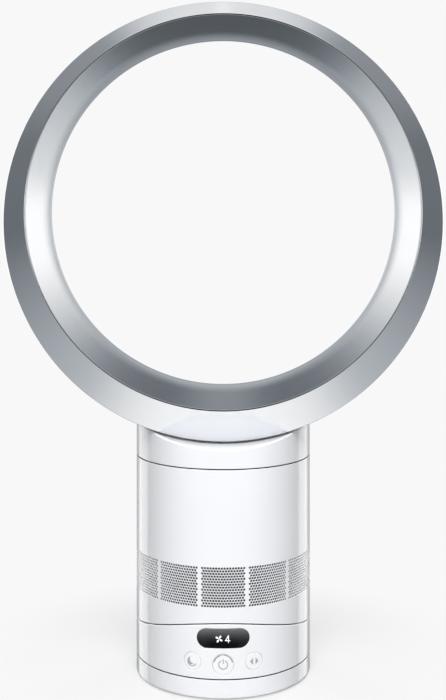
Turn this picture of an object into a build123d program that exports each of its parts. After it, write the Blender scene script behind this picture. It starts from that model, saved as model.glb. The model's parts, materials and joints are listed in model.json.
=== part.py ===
from build123d import *
from math import acos, asin, cos, hypot, pi, radians, sin, sqrt, tan
import os

# A bladeless desk fan. An impeller in the upright body draws air through a perforated band and
# drives it up the neck into a hollow ring, which blows it forward through a thin annular slot.
# Millimetres, +Z up. The origin is on the floor under the axis of the round base, and the front
# of the fan faces -Y.

os.makedirs("parts", exist_ok=True)

# ---------------------------------------------------------------- driving dimensions

# Clearances
seam_gap = 0.8  # seen between casings that slide past each other
running_gap = 0.3  # between moving surfaces that aren't bearings
fit_gap = 0.1  # between pieces pushed or screwed together
shaft_gap = 0.05  # in a bush or a bearing

# Round casings
body_radius = 72.5
casing_wall = 2.5
edge_round = 0.4  # on the casings' outer edges
inner_radius = body_radius - casing_wall

# Stand
foot_height = 2.2
foot_width = 7.0
foot_pocket = 0.8
plate_thickness = 2.5
ballast_height = 4.0
ballast_radius = 50.0
ballast_bore = 22.0
deck_thickness = 2.5
stand_height = 16.1
stand_edge_round = 2.1
skirt_lift = 0.8
cable_bore = 5.5
stand_screw_circle = 36.0

# Sweep drive
gear_module = 1.25
gear_teeth = 48
pinion_teeth = 12
gear_height = 4.5
gear_backlash = 0.3
mesh_gap = 0.1
spindle_radius = 9.0
spindle_flange_radius = 14.0
spindle_flange_height = 2.0
thread_radius = 8.0
nut_height = 3.5
bush_wall = 2.85
bush_flange_height = 2.4
motor_radius = 14.0
motor_height = 19.0
motor_shaft_radius = 2.5
glide_ring_inset = 14.0
glide_ring_width = 5.0
glide_pad_height = 0.8

# Control base
floor_thickness = 2.5
cradle_low = 45.0
cradle_radius = 183.1
cradle_thickness = 2.5
boss_radius = 4.0
boss_inset = 9.0
window_width = 41.2
window_height = 15.3
window_middle = 48.6
window_thickness = 2.2
button_radius = 7.0
power_button_radius = 8.2
button_angle = 19.7
button_middle = 29.6
power_button_middle = 28.3
button_gap = 0.15
button_travel = 0.8
button_flange = 1.3
button_flange_thickness = 2.1
panel_board_inset = 12.8
panel_board_thickness = 1.8
panel_board_half_angle = 31.0
board_thickness = 1.6

# Tilting body
runner_spacing = 50.0
runner_width = 12.0
runner_stem = 5.0
runner_half_angle = 2.6
runner_flange = 3.0
tilt_range = 10.0
body_floor_thickness = 3.0
grille_low = 72.4
grille_height = 32.3
grille_wall = 1.8
grille_panels = 12
grille_strip = 3.5
spigot_height = 3.0
spigot_wall = 2.0
body_top = 180.3
casing_lip = 2.5
duct_radius = 50.0
duct_wall = 2.5
collar_height = 17.8
lug_height = 3.5
lug_reach = 3.5
lug_half_angle = 6.0
lug_count = 3
twist_range = 15.0

# Air mover
shroud_wall = 2.0
inlet_radius = 33.0
outlet_radius = 49.0
impeller_low = 104.0
impeller_height = 22.0
impeller_gap = 0.8
hub_low_radius = 9.0
hub_high_radius = 25.0
impeller_blades = 9
blade_thickness = 1.4
blade_twist = 48.0
diffuser_vanes = 11
vane_thickness = 1.3
diffuser_height = 27.0
bucket_radius = 27.0
bucket_wall = 2.0
bearing_radius = 6.5
bearing_height = 4.0
rotor_radius = 7.5
air_gap = 0.6

# Ring
ring_axis_height = 382.0
ring_drop = 7.5  # the outer casing's axis lies this far below the opening's axis
corner_radius = 176.4
corner_depth = -48.0
lip_radius = 157.2
lip_depth = -64.0
shell_wall = 2.3
bezel_round = 1.3
casing_taper = 1.9
roll_start = 22.0
roll_depth = 26.0
roll_height = 15.5
throat_radius = 148.0
throat_depth = 20.0
flow_slope = 7.8  # of the flow surface behind the lip, in degrees
nose_run = 14.0
nose_rise = 6.6
slot_gap = 1.0
slot_lip = 0.9
slot_lip_depth = 31.0  # behind the throat, which hides the slot from the front
neck_gap = 1.9
neck_wall = 2.5
neck_edge_round = 0.9
neck_opening_width = 104.0
neck_opening_depth = 72.0

# ---------------------------------------------------------------- derived heights

plate_low = foot_height - foot_pocket
plate_high = plate_low + plate_thickness
deck_low = plate_high + ballast_height + fit_gap
deck_high = deck_low + deck_thickness
base_low = stand_height + seam_gap
floor_low = base_low + fit_gap
floor_high = floor_low + floor_thickness
bush_high = floor_high + bush_flange_height
nut_low = bush_high + running_gap
tilt_axis_height = cradle_low + cradle_radius
body_low_radius = cradle_radius - seam_gap
grille_high = grille_low + grille_height
loop_low = body_top + seam_gap
pitch_distance = gear_module * (gear_teeth + pinion_teeth) / 2 + mesh_gap
tall = 4 * body_radius  # longer than any piece of the base


def arc_height(radius, along):
    """Height of the cradle's arc of this radius at a distance along Y from the middle."""
    return tilt_axis_height - sqrt(radius**2 - along**2)


def arc_band(inner, outer, middle, half):
    """Sketch of the band between two arcs about the origin, from middle - half to middle + half."""
    with BuildSketch() as band:
        with BuildLine():
            far = CenterArc((0, 0), outer, middle - half, 2 * half)
            near = CenterArc((0, 0), inner, middle - half, 2 * half)
            Line(far @ 0, near @ 0)
            Line(far @ 1, near @ 1)
        make_face()
    return band.sketch


def edges_at(part, radius):
    """Edges other than straight ones that lie at this distance from the Z axis."""

    def lies_there(edge):
        spots = (edge @ 0, edge @ 0.3, edge @ 0.6)
        return all(abs(hypot(spot.X, spot.Y) - radius) < 0.01 for spot in spots)

    return part.edges().filter_by(GeomType.LINE, reverse=True).filter_by(lies_there)


def front_plane(angle, height, distance=0.0):
    """Plane facing outwards at this angle from the front, x level and y up."""
    outward = Vector(sin(radians(angle)), -cos(radians(angle)), 0)
    level = Vector(cos(radians(angle)), sin(radians(angle)), 0)
    return Plane(origin=outward * distance + Vector(0, 0, height), x_dir=level, z_dir=outward)


def back_plane(depth, height):
    """Plane facing backwards at this depth, x level."""
    return Plane(origin=(0, depth, height), x_dir=(1, 0, 0), z_dir=(0, 1, 0))


def tilt_plane(offset):
    """Plane across X at this offset, its origin on the tilt axis, x along +Y and y along +Z."""
    return Plane(origin=(offset, 0, tilt_axis_height), x_dir=(0, 1, 0), z_dir=(1, 0, 0))


# ---------------------------------------------------------------- stand

inlet_half_width = 5.5
inlet_depth = 12.0
inlet_height = 8.7
inlet_collar = 4.4
inlet_bore = 2.75
inlet_pin = 1.0
inlet_back = sqrt(inner_radius**2 - inlet_half_width**2) - fit_gap
inlet_middle = plate_high + inlet_height / 2

screw_head_radius = 3.0
screw_head_height = 1.4
screw_radius = 1.5

# Outer shell: skirt and deck in one moulding
with BuildPart() as stand_shell:
    with BuildSketch(Plane.XZ):
        Polygon(
            (cable_bore, deck_low),
            (inner_radius, deck_low),
            (inner_radius, skirt_lift),
            (body_radius, skirt_lift),
            (body_radius, stand_height),
            (inner_radius, stand_height),
            (inner_radius, deck_high),
            (cable_bore, deck_high),
            align=None,
        )
    revolve(axis=Axis.Z)
    bottom_edges = stand_shell.edges().filter_by(GeomType.CIRCLE).group_by(Axis.Z)[0]
    fillet(bottom_edges.sort_by(SortBy.RADIUS)[-1], radius=stand_edge_round)
    fillet(edges_at(stand_shell, body_radius).group_by(Axis.Z)[-1], radius=edge_round)
    with BuildSketch(Plane.XY.offset(deck_low)):
        with Locations((0, inlet_back - inlet_depth / 2)):
            Rectangle(2 * (inlet_half_width + fit_gap), inlet_depth + 2 * fit_gap)
        with PolarLocations(stand_screw_circle, 4, 45):
            Circle(screw_radius - fit_gap)
    extrude(amount=deck_thickness, mode=Mode.SUBTRACT)
    with BuildSketch(back_plane(inner_radius - 1, inlet_middle)):
        Circle(inlet_collar + fit_gap)
    extrude(amount=casing_wall + 2, mode=Mode.SUBTRACT)
stand_shell.part.label = "stand_shell"
export_step(stand_shell.part, "parts/stand_shell.step")

# Bottom plate with pockets for the feet
plate_radius = inner_radius - running_gap
foot_outer = plate_radius - 3.0
foot_inner = foot_outer - foot_width
foot_half_angle = 24.0
foot_band = arc_band(foot_inner, foot_outer, 0, foot_half_angle)
pocket_band = arc_band(
    foot_inner - fit_gap, foot_outer + fit_gap, 0, foot_half_angle + 0.2
)
with BuildPart() as stand_plate:
    with BuildSketch(Plane.XY.offset(plate_low)):
        Circle(plate_radius)
        Circle(cable_bore, mode=Mode.SUBTRACT)
    extrude(amount=plate_thickness)
    with BuildSketch(Plane.XY.offset(plate_low)):
        with PolarLocations(0, 4, 45):
            add(pocket_band)
    extrude(amount=foot_pocket, mode=Mode.SUBTRACT)
    with Locations(Plane.XY.offset(plate_low).rotated((180, 0, 0))):
        with PolarLocations(stand_screw_circle, 4, 45):
            CounterBoreHole(
                screw_radius + fit_gap, screw_head_radius + fit_gap, screw_head_height + fit_gap
            )
stand_plate.part.label = "stand_plate"
export_step(stand_plate.part, "parts/stand_plate.step")

# Four rubber feet
with BuildPart() as stand_feet:
    with BuildSketch():
        with PolarLocations(0, 4, 45):
            add(foot_band)
    extrude(amount=foot_height)
    chamfer(stand_feet.edges().group_by(Axis.Z)[0], length=0.5)
stand_feet.part.label = "stand_feet"
export_step(stand_feet.part, "parts/stand_feet.step")

# Ballast that keeps the tall ring from tipping the fan over
with BuildPart() as ballast_ring:
    with BuildSketch(Plane.XY.offset(plate_high)):
        Circle(ballast_radius)
        Circle(ballast_bore, mode=Mode.SUBTRACT)
        with PolarLocations(stand_screw_circle, 4, 45):
            Circle(screw_radius + 1, mode=Mode.SUBTRACT)
    extrude(amount=ballast_height)
    chamfer(ballast_ring.edges().filter_by(GeomType.CIRCLE).sort_by(SortBy.RADIUS)[-2:], length=0.6)
ballast_ring.part.label = "ballast_ring"
export_step(ballast_ring.part, "parts/ballast_ring.step")

# Screws from the bottom plate into the deck
stand_screw_low = plate_low + fit_gap / 2
with BuildPart() as stand_screws:
    with BuildSketch(Plane.XY.offset(stand_screw_low)):
        with PolarLocations(stand_screw_circle, 4, 45):
            Circle(screw_head_radius)
    extrude(amount=screw_head_height)
    with BuildSketch(Plane.XY.offset(stand_screw_low + screw_head_height)):
        with PolarLocations(stand_screw_circle, 4, 45):
            Circle(screw_radius - 2 * fit_gap)
    extrude(amount=deck_high - 0.5 - stand_screw_low - screw_head_height)
stand_screws.part.label = "stand_screws"
export_step(stand_screws.part, "parts/stand_screws.step")

# Barrel socket for the low-voltage supply, at the back of the stand
with BuildPart() as power_inlet:
    with BuildSketch(back_plane(inlet_back - inlet_depth, inlet_middle)):
        Rectangle(2 * inlet_half_width, inlet_height)
    extrude(amount=inlet_depth)
    with BuildSketch(back_plane(inlet_back, inlet_middle)):
        Circle(inlet_collar)
    extrude(amount=casing_wall - 0.3)
    with BuildSketch(back_plane(inlet_back - inlet_depth + 2, inlet_middle)):
        Circle(inlet_bore)
        Circle(inlet_pin, mode=Mode.SUBTRACT)
    extrude(amount=inlet_depth + casing_wall, mode=Mode.SUBTRACT)
power_inlet.part.label = "power_inlet"
export_step(power_inlet.part, "parts/power_inlet.step")

# Hollow spindle that the control base turns on; its thread takes the nut
spindle_high = nut_low + nut_height + 1.0
with BuildPart() as sweep_spindle:
    with BuildSketch(Plane.XZ):
        Polygon(
            (cable_bore, deck_high),
            (spindle_flange_radius, deck_high),
            (spindle_flange_radius, deck_high + spindle_flange_height),
            (spindle_radius, deck_high + spindle_flange_height),
            (spindle_radius, nut_low),
            (thread_radius, nut_low),
            (thread_radius, spindle_high),
            (cable_bore, spindle_high),
            align=None,
        )
    revolve(axis=Axis.Z)
sweep_spindle.part.label = "sweep_spindle"
export_step(sweep_spindle.part, "parts/sweep_spindle.step")

nut_across = 2 * (spindle_radius + bush_wall + 2.0)
with BuildPart() as spindle_nut:
    with BuildSketch(Plane.XY.offset(nut_low)):
        RegularPolygon(nut_across / 2, 6, major_radius=False)
        Circle(thread_radius + shaft_gap, mode=Mode.SUBTRACT)
    extrude(amount=nut_height)
spindle_nut.part.label = "spindle_nut"
export_step(spindle_nut.part, "parts/spindle_nut.step")


def gear_profile(teeth, tip_above, root_below):
    """Involute spur gear outline about the origin, with one tooth centred on +X."""
    pressure = radians(20)
    pitch = gear_module * teeth / 2
    base = pitch * cos(pressure)
    root = pitch - root_below
    tip = pitch + tip_above
    half_at_base = (
        pi / (2 * teeth) - gear_backlash / (4 * pitch) + tan(pressure) - pressure
    )
    flank_start = max(base, root)
    flank_steps = 3
    flank = []
    for step in range(flank_steps + 1):
        radius = flank_start + (tip - flank_start) * step / flank_steps
        roll = acos(min(1.0, base / radius))
        flank.append((radius, half_at_base - (tan(roll) - roll)))
    if root < base:
        flank.insert(0, (root, half_at_base))
    half_tooth = [(radius, -angle) for radius, angle in flank]
    half_tooth += [(radius, angle) for radius, angle in reversed(flank)]
    outline = []
    for tooth in range(teeth):
        middle = 2 * pi * tooth / teeth
        for radius, angle in half_tooth:
            outline.append((radius * cos(middle + angle), radius * sin(middle + angle)))
    with BuildSketch() as profile:
        with BuildLine():
            Polyline(*outline, close=True)
        make_face()
    return profile.sketch


# Fixed gear of the sweep, screwed to the deck round the spindle's flange
tip_height = 0.72 * gear_module
root_depth = 0.98 * gear_module
gear_outline = gear_profile(gear_teeth, tip_height, root_depth)
with BuildPart() as sweep_gear:
    with BuildSketch(Plane.XY.offset(deck_high)):
        add(gear_outline)
        Circle(spindle_flange_radius + fit_gap, mode=Mode.SUBTRACT)
        with PolarLocations((spindle_flange_radius + pitch_distance - motor_radius) / 2, 6, 30):
            Circle(2.2, mode=Mode.SUBTRACT)
    extrude(amount=gear_height)
sweep_gear.part.label = "sweep_gear"
export_step(sweep_gear.part, "parts/sweep_gear.step")

# Pinion on the motor's shaft, on the turning base behind the spindle
pinion_low = deck_high + running_gap + 0.5
pinion_height = gear_height
pinion_outline = gear_profile(pinion_teeth, tip_height, root_depth)
pinion_shaft_high = floor_high + motor_height / 3
with BuildPart() as sweep_pinion:
    with BuildSketch(Plane.XY.offset(pinion_low)):
        with Locations(Location((0, pitch_distance), 180 / pinion_teeth)):
            add(pinion_outline)
    extrude(amount=pinion_height)
    with BuildSketch(Plane.XY.offset(pinion_low)):
        with Locations((0, pitch_distance)):
            Circle(motor_shaft_radius)
    extrude(amount=pinion_shaft_high - pinion_low)
sweep_pinion.part.label = "sweep_pinion"
export_step(sweep_pinion.part, "parts/sweep_pinion.step")

# Low-friction ring with raised pads under the turning floor
glide_ring_radius = inner_radius - glide_ring_inset
glide_inner = glide_ring_radius - glide_ring_width
glide_high = floor_low - running_gap
pad_band = arc_band(glide_inner, glide_ring_radius, 0, 12)
with BuildPart() as glide_ring:
    with BuildSketch(Plane.XY.offset(deck_high)):
        Circle(glide_ring_radius)
        Circle(glide_inner, mode=Mode.SUBTRACT)
    extrude(amount=glide_high - glide_pad_height - deck_high)
    with BuildSketch(Plane.XY.offset(glide_high - glide_pad_height)):
        with PolarLocations(0, 6):
            add(pad_band)
    extrude(amount=glide_pad_height)
glide_ring.part.label = "glide_ring"
export_step(glide_ring.part, "parts/glide_ring.step")

# ---------------------------------------------------------------- control base

boss_circle = inner_radius - boss_inset
boss_angles = (90, 210, 330)
boss_points = [
    (boss_circle * cos(radians(angle)), boss_circle * sin(radians(angle)))
    for angle in boss_angles
]
board_low = floor_high + 3.5
board_size = (36.0, 44.0)
board_middle = (38.0, 0.0)
board_post_radius = 2.5
motor_ear_reach = motor_radius + 3.5
motor_ear_height = 1.0
ear_screw_radius = 1.2

# Space under the cradle, between the walls
with BuildPart() as base_hollow:
    with BuildSketch(Plane.XY.offset(base_low)):
        Circle(inner_radius)
    extrude(amount=cradle_low)
    with BuildSketch(tilt_plane(0)):
        Circle(cradle_radius + cradle_thickness)
    extrude(amount=body_radius, both=True, mode=Mode.SUBTRACT)

# Shell whose top is the cradle that the body tilts in
slot_half_angle = runner_half_angle + tilt_range + 0.3
slot_band = arc_band(
    cradle_radius - 2, cradle_radius + cradle_thickness + 2, -90, slot_half_angle
)
slot_width = runner_stem + 2 * running_gap
with BuildPart() as base_shell:
    with BuildSketch(Plane.XY.offset(base_low)):
        Circle(body_radius)
    extrude(amount=cradle_low)
    with BuildSketch(tilt_plane(0)):
        Circle(cradle_radius)
    extrude(amount=tall, both=True, mode=Mode.SUBTRACT)
    add(base_hollow.part, mode=Mode.SUBTRACT)
    # Bosses for the floor's screws, up to the cradle
    with BuildSketch(Plane.XY.offset(floor_high)):
        with Locations(boss_points):
            Circle(boss_radius)
            Circle(screw_radius - fit_gap, mode=Mode.SUBTRACT)
    extrude(until=Until.NEXT)
    # Slots for the stems of the tilt runners
    for side in (-1, 1):
        with BuildSketch(tilt_plane(side * runner_spacing / 2)):
            add(slot_band)
        extrude(amount=slot_width / 2, both=True, mode=Mode.SUBTRACT)
    # Display window and button holes
    with BuildSketch(front_plane(0, window_middle, inner_radius - 8)):
        SlotOverall(window_width + 2 * button_gap, window_height + 2 * button_gap)
    extrude(amount=tall / 4, mode=Mode.SUBTRACT)
    for angle in (-button_angle, button_angle):
        with BuildSketch(front_plane(angle, button_middle, inner_radius - 8)):
            Circle(button_radius + button_gap)
        extrude(amount=tall / 4, mode=Mode.SUBTRACT)
    with BuildSketch(front_plane(0, power_button_middle, inner_radius - 8)):
        Circle(power_button_radius + button_gap)
    extrude(amount=tall / 4, mode=Mode.SUBTRACT)
    fillet(edges_at(base_shell, body_radius), radius=edge_round)
base_shell.part.label = "base_shell"
export_step(base_shell.part, "parts/base_shell.step")

# Floor that carries the motor and the main board
post_points = [
    (board_middle[0] + side * (board_size[0] / 2 - 4), board_middle[1] + end * (board_size[1] / 2 - 4))
    for side in (-1, 1)
    for end in (-1, 1)
]
floor_screw_low = floor_low + fit_gap
with BuildPart() as base_floor:
    with BuildSketch(Plane.XY.offset(floor_low)):
        Circle(inner_radius - running_gap)
        Circle(spindle_radius + bush_wall + shaft_gap + fit_gap, mode=Mode.SUBTRACT)
        with Locations((0, pitch_distance)):
            Circle(motor_shaft_radius + 1, mode=Mode.SUBTRACT)
        with Locations((-motor_ear_reach, pitch_distance), (motor_ear_reach, pitch_distance)):
            Circle(ear_screw_radius + fit_gap, mode=Mode.SUBTRACT)
        with Locations((0, -inner_radius)):
            Rectangle(2 * power_button_radius + 8, 8, mode=Mode.SUBTRACT)
    extrude(amount=floor_thickness)
    with BuildSketch(Plane.XY.offset(floor_high)):
        with Locations(post_points):
            Circle(board_post_radius)
    extrude(amount=board_low - floor_high)
    with Locations(Plane.XY.offset(floor_low).rotated((180, 0, 0))):
        with Locations([(x, -y) for x, y in boss_points]):
            CounterBoreHole(
                screw_radius + fit_gap, screw_head_radius + fit_gap, screw_head_height + fit_gap
            )
base_floor.part.label = "base_floor"
export_step(base_floor.part, "parts/base_floor.step")

with BuildPart() as floor_screws:
    with BuildSketch(Plane.XY.offset(floor_screw_low)):
        with Locations(boss_points):
            Circle(screw_head_radius)
    extrude(amount=screw_head_height - fit_gap)
    with BuildSketch(Plane.XY.offset(floor_screw_low + screw_head_height - fit_gap)):
        with Locations(boss_points):
            Circle(screw_radius - 2 * fit_gap)
    extrude(amount=8.0)
floor_screws.part.label = "floor_screws"
export_step(floor_screws.part, "parts/floor_screws.step")

# Flanged bush that turns on the spindle
bush_bore = spindle_radius + shaft_gap
bush_outer = spindle_radius + bush_wall + shaft_gap
with BuildPart() as pivot_bush:
    with BuildSketch(Plane.XZ):
        Polygon(
            (bush_bore, floor_low),
            (bush_outer, floor_low),
            (bush_outer, floor_high),
            (bush_outer + 3, floor_high),
            (bush_outer + 3, bush_high),
            (bush_bore, bush_high),
            align=None,
        )
    revolve(axis=Axis.Z)
pivot_bush.part.label = "pivot_bush"
export_step(pivot_bush.part, "parts/pivot_bush.step")

# Geared stepper motor of the sweep
with BuildPart() as sweep_motor:
    with BuildSketch(Plane.XY.offset(floor_high)):
        with Locations((0, pitch_distance)):
            SlotOverall(2 * (motor_ear_reach + 3), 6)
            Circle(motor_radius)
    extrude(amount=motor_ear_height)
    with BuildSketch(Plane.XY.offset(floor_high)):
        with Locations((0, pitch_distance)):
            Circle(motor_radius)
    extrude(amount=motor_height)
    with BuildSketch(Plane.XY.offset(floor_high)):
        with Locations((0, pitch_distance)):
            Circle(motor_shaft_radius + fit_gap)
    extrude(amount=motor_height / 3 + 1, mode=Mode.SUBTRACT)
    with BuildSketch(Plane.XY.offset(floor_high)):
        with Locations((-motor_ear_reach, pitch_distance), (motor_ear_reach, pitch_distance)):
            Circle(ear_screw_radius + fit_gap)
    extrude(amount=motor_ear_height, mode=Mode.SUBTRACT)
sweep_motor.part.label = "sweep_motor"
export_step(sweep_motor.part, "parts/sweep_motor.step")

with BuildPart() as motor_screws:
    with BuildSketch(Plane.XY.offset(floor_low)):
        with Locations((-motor_ear_reach, pitch_distance), (motor_ear_reach, pitch_distance)):
            Circle(ear_screw_radius)
    extrude(amount=floor_thickness + motor_ear_height)
    with BuildSketch(Plane.XY.offset(floor_high + motor_ear_height)):
        with Locations((-motor_ear_reach, pitch_distance), (motor_ear_reach, pitch_distance)):
            Circle(2 * ear_screw_radius)
    extrude(amount=1.2)
motor_screws.part.label = "motor_screws"
export_step(motor_screws.part, "parts/motor_screws.step")

# Main circuit board with its larger components
with BuildPart() as main_board:
    with BuildSketch(Plane.XY.offset(board_low)):
        with Locations(board_middle):
            RectangleRounded(*board_size, radius=2)
    extrude(amount=board_thickness)
    board_high = board_low + board_thickness
    with BuildSketch(Plane.XY.offset(board_high)):
        with Locations((board_middle[0] - 8, 12), (board_middle[0] + 4, 12)):
            Circle(4.5)
    extrude(amount=9)
    with BuildSketch(Plane.XY.offset(board_high)):
        with Locations((board_middle[0] - 4, -4)):
            Rectangle(10, 10)
        with Locations((board_middle[0] + 10, -13)):
            Rectangle(8, 6)
    extrude(amount=3)
    with BuildSketch(Plane.XY.offset(board_high)):
        with Locations((board_middle[0] + 10, 0)):
            Rectangle(10, 8)
    extrude(amount=5.5)
main_board.part.label = "main_board"
export_step(main_board.part, "parts/main_board.step")

# Curved board behind the display and the buttons
panel_board_radius = inner_radius - panel_board_inset
panel_board_high = arc_height(cradle_radius + cradle_thickness, panel_board_radius * 0.84) - 1.2
panel_band = arc_band(
    panel_board_radius - panel_board_thickness, panel_board_radius, -90, panel_board_half_angle
)
with BuildPart() as panel_board:
    with BuildSketch(Plane.XY.offset(floor_high)):
        add(panel_band)
    extrude(amount=panel_board_high - floor_high)
panel_board.part.label = "panel_board"
export_step(panel_board.part, "parts/panel_board.step")

button_places = {
    "sleep_button": (-button_angle, button_middle, button_radius),
    "power_button": (0.0, power_button_middle, power_button_radius),
    "sweep_button": (button_angle, button_middle, button_radius),
}
flange_high = inner_radius - running_gap - fit_gap
flange_low = flange_high - button_flange_thickness
switch_low = panel_board_radius + fit_gap
switch_height = 3.5
plunger_high = switch_low + switch_height + 1.1
dome_low = switch_low + switch_height + fit_gap
dome_high = flange_low - button_travel - fit_gap
dome_wall = 0.7

# Tact switches on the curved board, one behind each button
with BuildPart() as panel_switches:
    for angle, middle, _ in button_places.values():
        with BuildSketch(front_plane(angle, middle, switch_low)):
            Rectangle(6, 6)
        extrude(amount=switch_height)
        with BuildSketch(front_plane(angle, middle, switch_low + switch_height)):
            Circle(1.5)
        extrude(amount=plunger_high - switch_low - switch_height)
panel_switches.part.label = "panel_switches"
export_step(panel_switches.part, "parts/panel_switches.step")

# Rubber domes that push the buttons back out
with BuildPart() as button_domes:
    for angle, middle, _ in button_places.values():
        dome_plane = front_plane(angle, middle)
        with BuildSketch(Plane(origin=dome_plane.origin, x_dir=dome_plane.z_dir, z_dir=dome_plane.x_dir)):
            Polygon(
                (dome_low, 4.8),
                (dome_low, 4.8 + dome_wall),
                (dome_high, 3.2 + dome_wall),
                (dome_high, 0),
                (plunger_high + fit_gap, 0),
                (plunger_high + fit_gap, 1.2),
                (dome_high - 1.2, 1.2),
                (dome_high - 1.2, 3.2),
                align=None,
            )
        revolve(axis=Axis(dome_plane.origin, dome_plane.z_dir))
button_domes.part.label = "button_domes"
export_step(button_domes.part, "parts/button_domes.step")

# Curved caps, each with a flange behind the wall that keeps it in
for button_name, (angle, middle, radius) in button_places.items():
    with BuildPart() as button:
        with BuildSketch(Plane.XY.offset(base_low)):
            Circle(body_radius)
            Circle(flange_high, mode=Mode.SUBTRACT)
        extrude(amount=cradle_low)
        with BuildSketch(front_plane(angle, middle)):
            Circle(radius)
        extrude(amount=tall, mode=Mode.INTERSECT)
        fillet(edges_at(button, body_radius), radius=edge_round)
    with BuildPart() as button_back:
        with BuildSketch(Plane.XY.offset(base_low)):
            Circle(flange_high)
            Circle(flange_low, mode=Mode.SUBTRACT)
        extrude(amount=cradle_low)
        with BuildSketch(front_plane(angle, middle)):
            Circle(radius + button_flange)
        extrude(amount=tall, mode=Mode.INTERSECT)
    with BuildPart() as button_cap:
        add(button.part)
        add(button_back.part)
    button_cap.part.label = button_name
    export_step(button_cap.part, f"parts/{button_name}.step")

# Pill-shaped window over the display, flush with the shell
with BuildPart() as display_window:
    with BuildSketch(Plane.XY.offset(base_low)):
        Circle(body_radius)
        Circle(body_radius - window_thickness, mode=Mode.SUBTRACT)
    extrude(amount=tall / 4)
    with BuildSketch(front_plane(0, window_middle)):
        SlotOverall(window_width, window_height)
    extrude(amount=tall, mode=Mode.INTERSECT)
    fillet(edges_at(display_window, body_radius), radius=edge_round)
display_window.part.label = "display_window"
export_step(display_window.part, "parts/display_window.step")

# Light box of the display on the curved board, just behind the window
module_high = window_middle + 2.0
module_low = window_middle - window_height / 2 + 1.0
module_front = inner_radius - 3.6
with BuildPart() as display_module:
    with BuildSketch(front_plane(0, (module_high + module_low) / 2, panel_board_radius + fit_gap)):
        with Locations((3, 0)):
            Rectangle(24, module_high - module_low)
    extrude(amount=module_front - panel_board_radius - fit_gap)
display_module.part.label = "display_module"
export_step(display_module.part, "parts/display_module.step")

# Receiver of the remote control, beside the light box
receiver_angle = -15.0
receiver_depth = 6.0
receiver_middle = window_middle - 2.0
with BuildPart() as remote_receiver:
    with BuildSketch(front_plane(receiver_angle, receiver_middle, panel_board_radius + fit_gap)):
        Rectangle(6, 7)
    extrude(amount=receiver_depth)
    receiver_front = panel_board_radius + fit_gap + receiver_depth
    with BuildSketch(front_plane(receiver_angle, receiver_middle, receiver_front)):
        Circle(2.2)
    extrude(amount=1.5, taper=25)
remote_receiver.part.label = "remote_receiver"
export_step(remote_receiver.part, "parts/remote_receiver.step")

# ---------------------------------------------------------------- tilting body

runner_stem_band = arc_band(body_low_radius, cradle_radius + cradle_thickness + 1, -90, runner_half_angle)
runner_top = cradle_radius + cradle_thickness + running_gap
runner_band = arc_band(runner_top, runner_top + runner_flange, -90, runner_half_angle)

# Two hooked runners hang through the cradle's slots and hold the body down in it
with BuildPart() as tilt_runners:
    for side in (-1, 1):
        with BuildSketch(tilt_plane(side * runner_spacing / 2)):
            add(runner_stem_band)
        extrude(amount=runner_stem / 2, both=True)
        with BuildSketch(tilt_plane(side * runner_spacing / 2)):
            add(runner_band)
        extrude(amount=runner_width / 2, both=True)
    with BuildSketch(Plane.XY.offset(tilt_axis_height - body_low_radius - 5)):
        with Locations((-runner_spacing / 2, 0), (runner_spacing / 2, 0)):
            Circle(1.0)
    extrude(amount=6, mode=Mode.SUBTRACT)
tilt_runners.part.label = "tilt_runners"
export_step(tilt_runners.part, "parts/tilt_runners.step")

# Screws from inside the body into the runners
runner_screw_seat = arc_height(body_low_radius - body_floor_thickness, 0) + 1.2
with BuildPart() as runner_screws:
    with BuildSketch(Plane.XY.offset(runner_screw_seat)):
        with Locations((-runner_spacing / 2, 0), (runner_spacing / 2, 0)):
            Circle(2.2)
    extrude(amount=1.4)
    with BuildSketch(Plane.XY.offset(runner_screw_seat)):
        with Locations((-runner_spacing / 2, 0), (runner_spacing / 2, 0)):
            Circle(0.9)
    extrude(amount=-(runner_screw_seat - tilt_axis_height + body_low_radius + 4.5))
runner_screws.part.label = "runner_screws"
export_step(runner_screws.part, "parts/runner_screws.step")

driver_board_low = runner_screw_seat + 2.4
driver_board_size = (64.0, 34.0)
driver_posts = [(x, y) for x in (-28, 28) for y in (-13, 13)]

# Space inside the lower casing, above its curved floor
with BuildPart() as lower_hollow:
    with BuildSketch(tilt_plane(0)):
        Circle(body_low_radius - body_floor_thickness)
    extrude(amount=body_radius, both=True)
    with BuildSketch(Plane.XY.offset(cradle_low)):
        Circle(inner_radius)
    extrude(amount=grille_low - cradle_low, mode=Mode.INTERSECT)

# Cup under the inlet band, its floor rounded to slide in the cradle
with BuildPart() as lower_casing:
    with BuildSketch(Plane.XY.offset(cradle_low)):
        Circle(body_radius)
    extrude(amount=grille_low - cradle_low)
    with BuildSketch(tilt_plane(0)):
        Circle(body_low_radius)
    extrude(amount=body_radius + 1, both=True, mode=Mode.INTERSECT)
    fillet(edges_at(lower_casing, body_radius).sort_by(Axis.Z)[:-1], radius=edge_round)
    add(lower_hollow.part, mode=Mode.SUBTRACT)
    with BuildSketch(Plane.XY.offset(grille_low - spigot_height)):
        Circle(inner_radius + fit_gap)
        Circle(inner_radius - spigot_wall, mode=Mode.SUBTRACT)
    extrude(amount=2 * spigot_height)
    with BuildSketch(Plane.XY.offset(cradle_low + 2)):
        with Locations(driver_posts):
            Circle(2.2)
    extrude(amount=driver_board_low - cradle_low - 2)
    with BuildSketch(Plane.XY.offset(cradle_low + 2)):
        with Locations((-runner_spacing / 2, 0), (runner_spacing / 2, 0)):
            Circle(3.2)
    extrude(amount=runner_screw_seat - cradle_low - 2)
    with BuildSketch(Plane.XY.offset(cradle_low)):
        with Locations((-runner_spacing / 2, 0), (runner_spacing / 2, 0)):
            Circle(1.1)
    extrude(amount=10, mode=Mode.SUBTRACT)
lower_casing.part.label = "lower_casing"
export_step(lower_casing.part, "parts/lower_casing.step")

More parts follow.
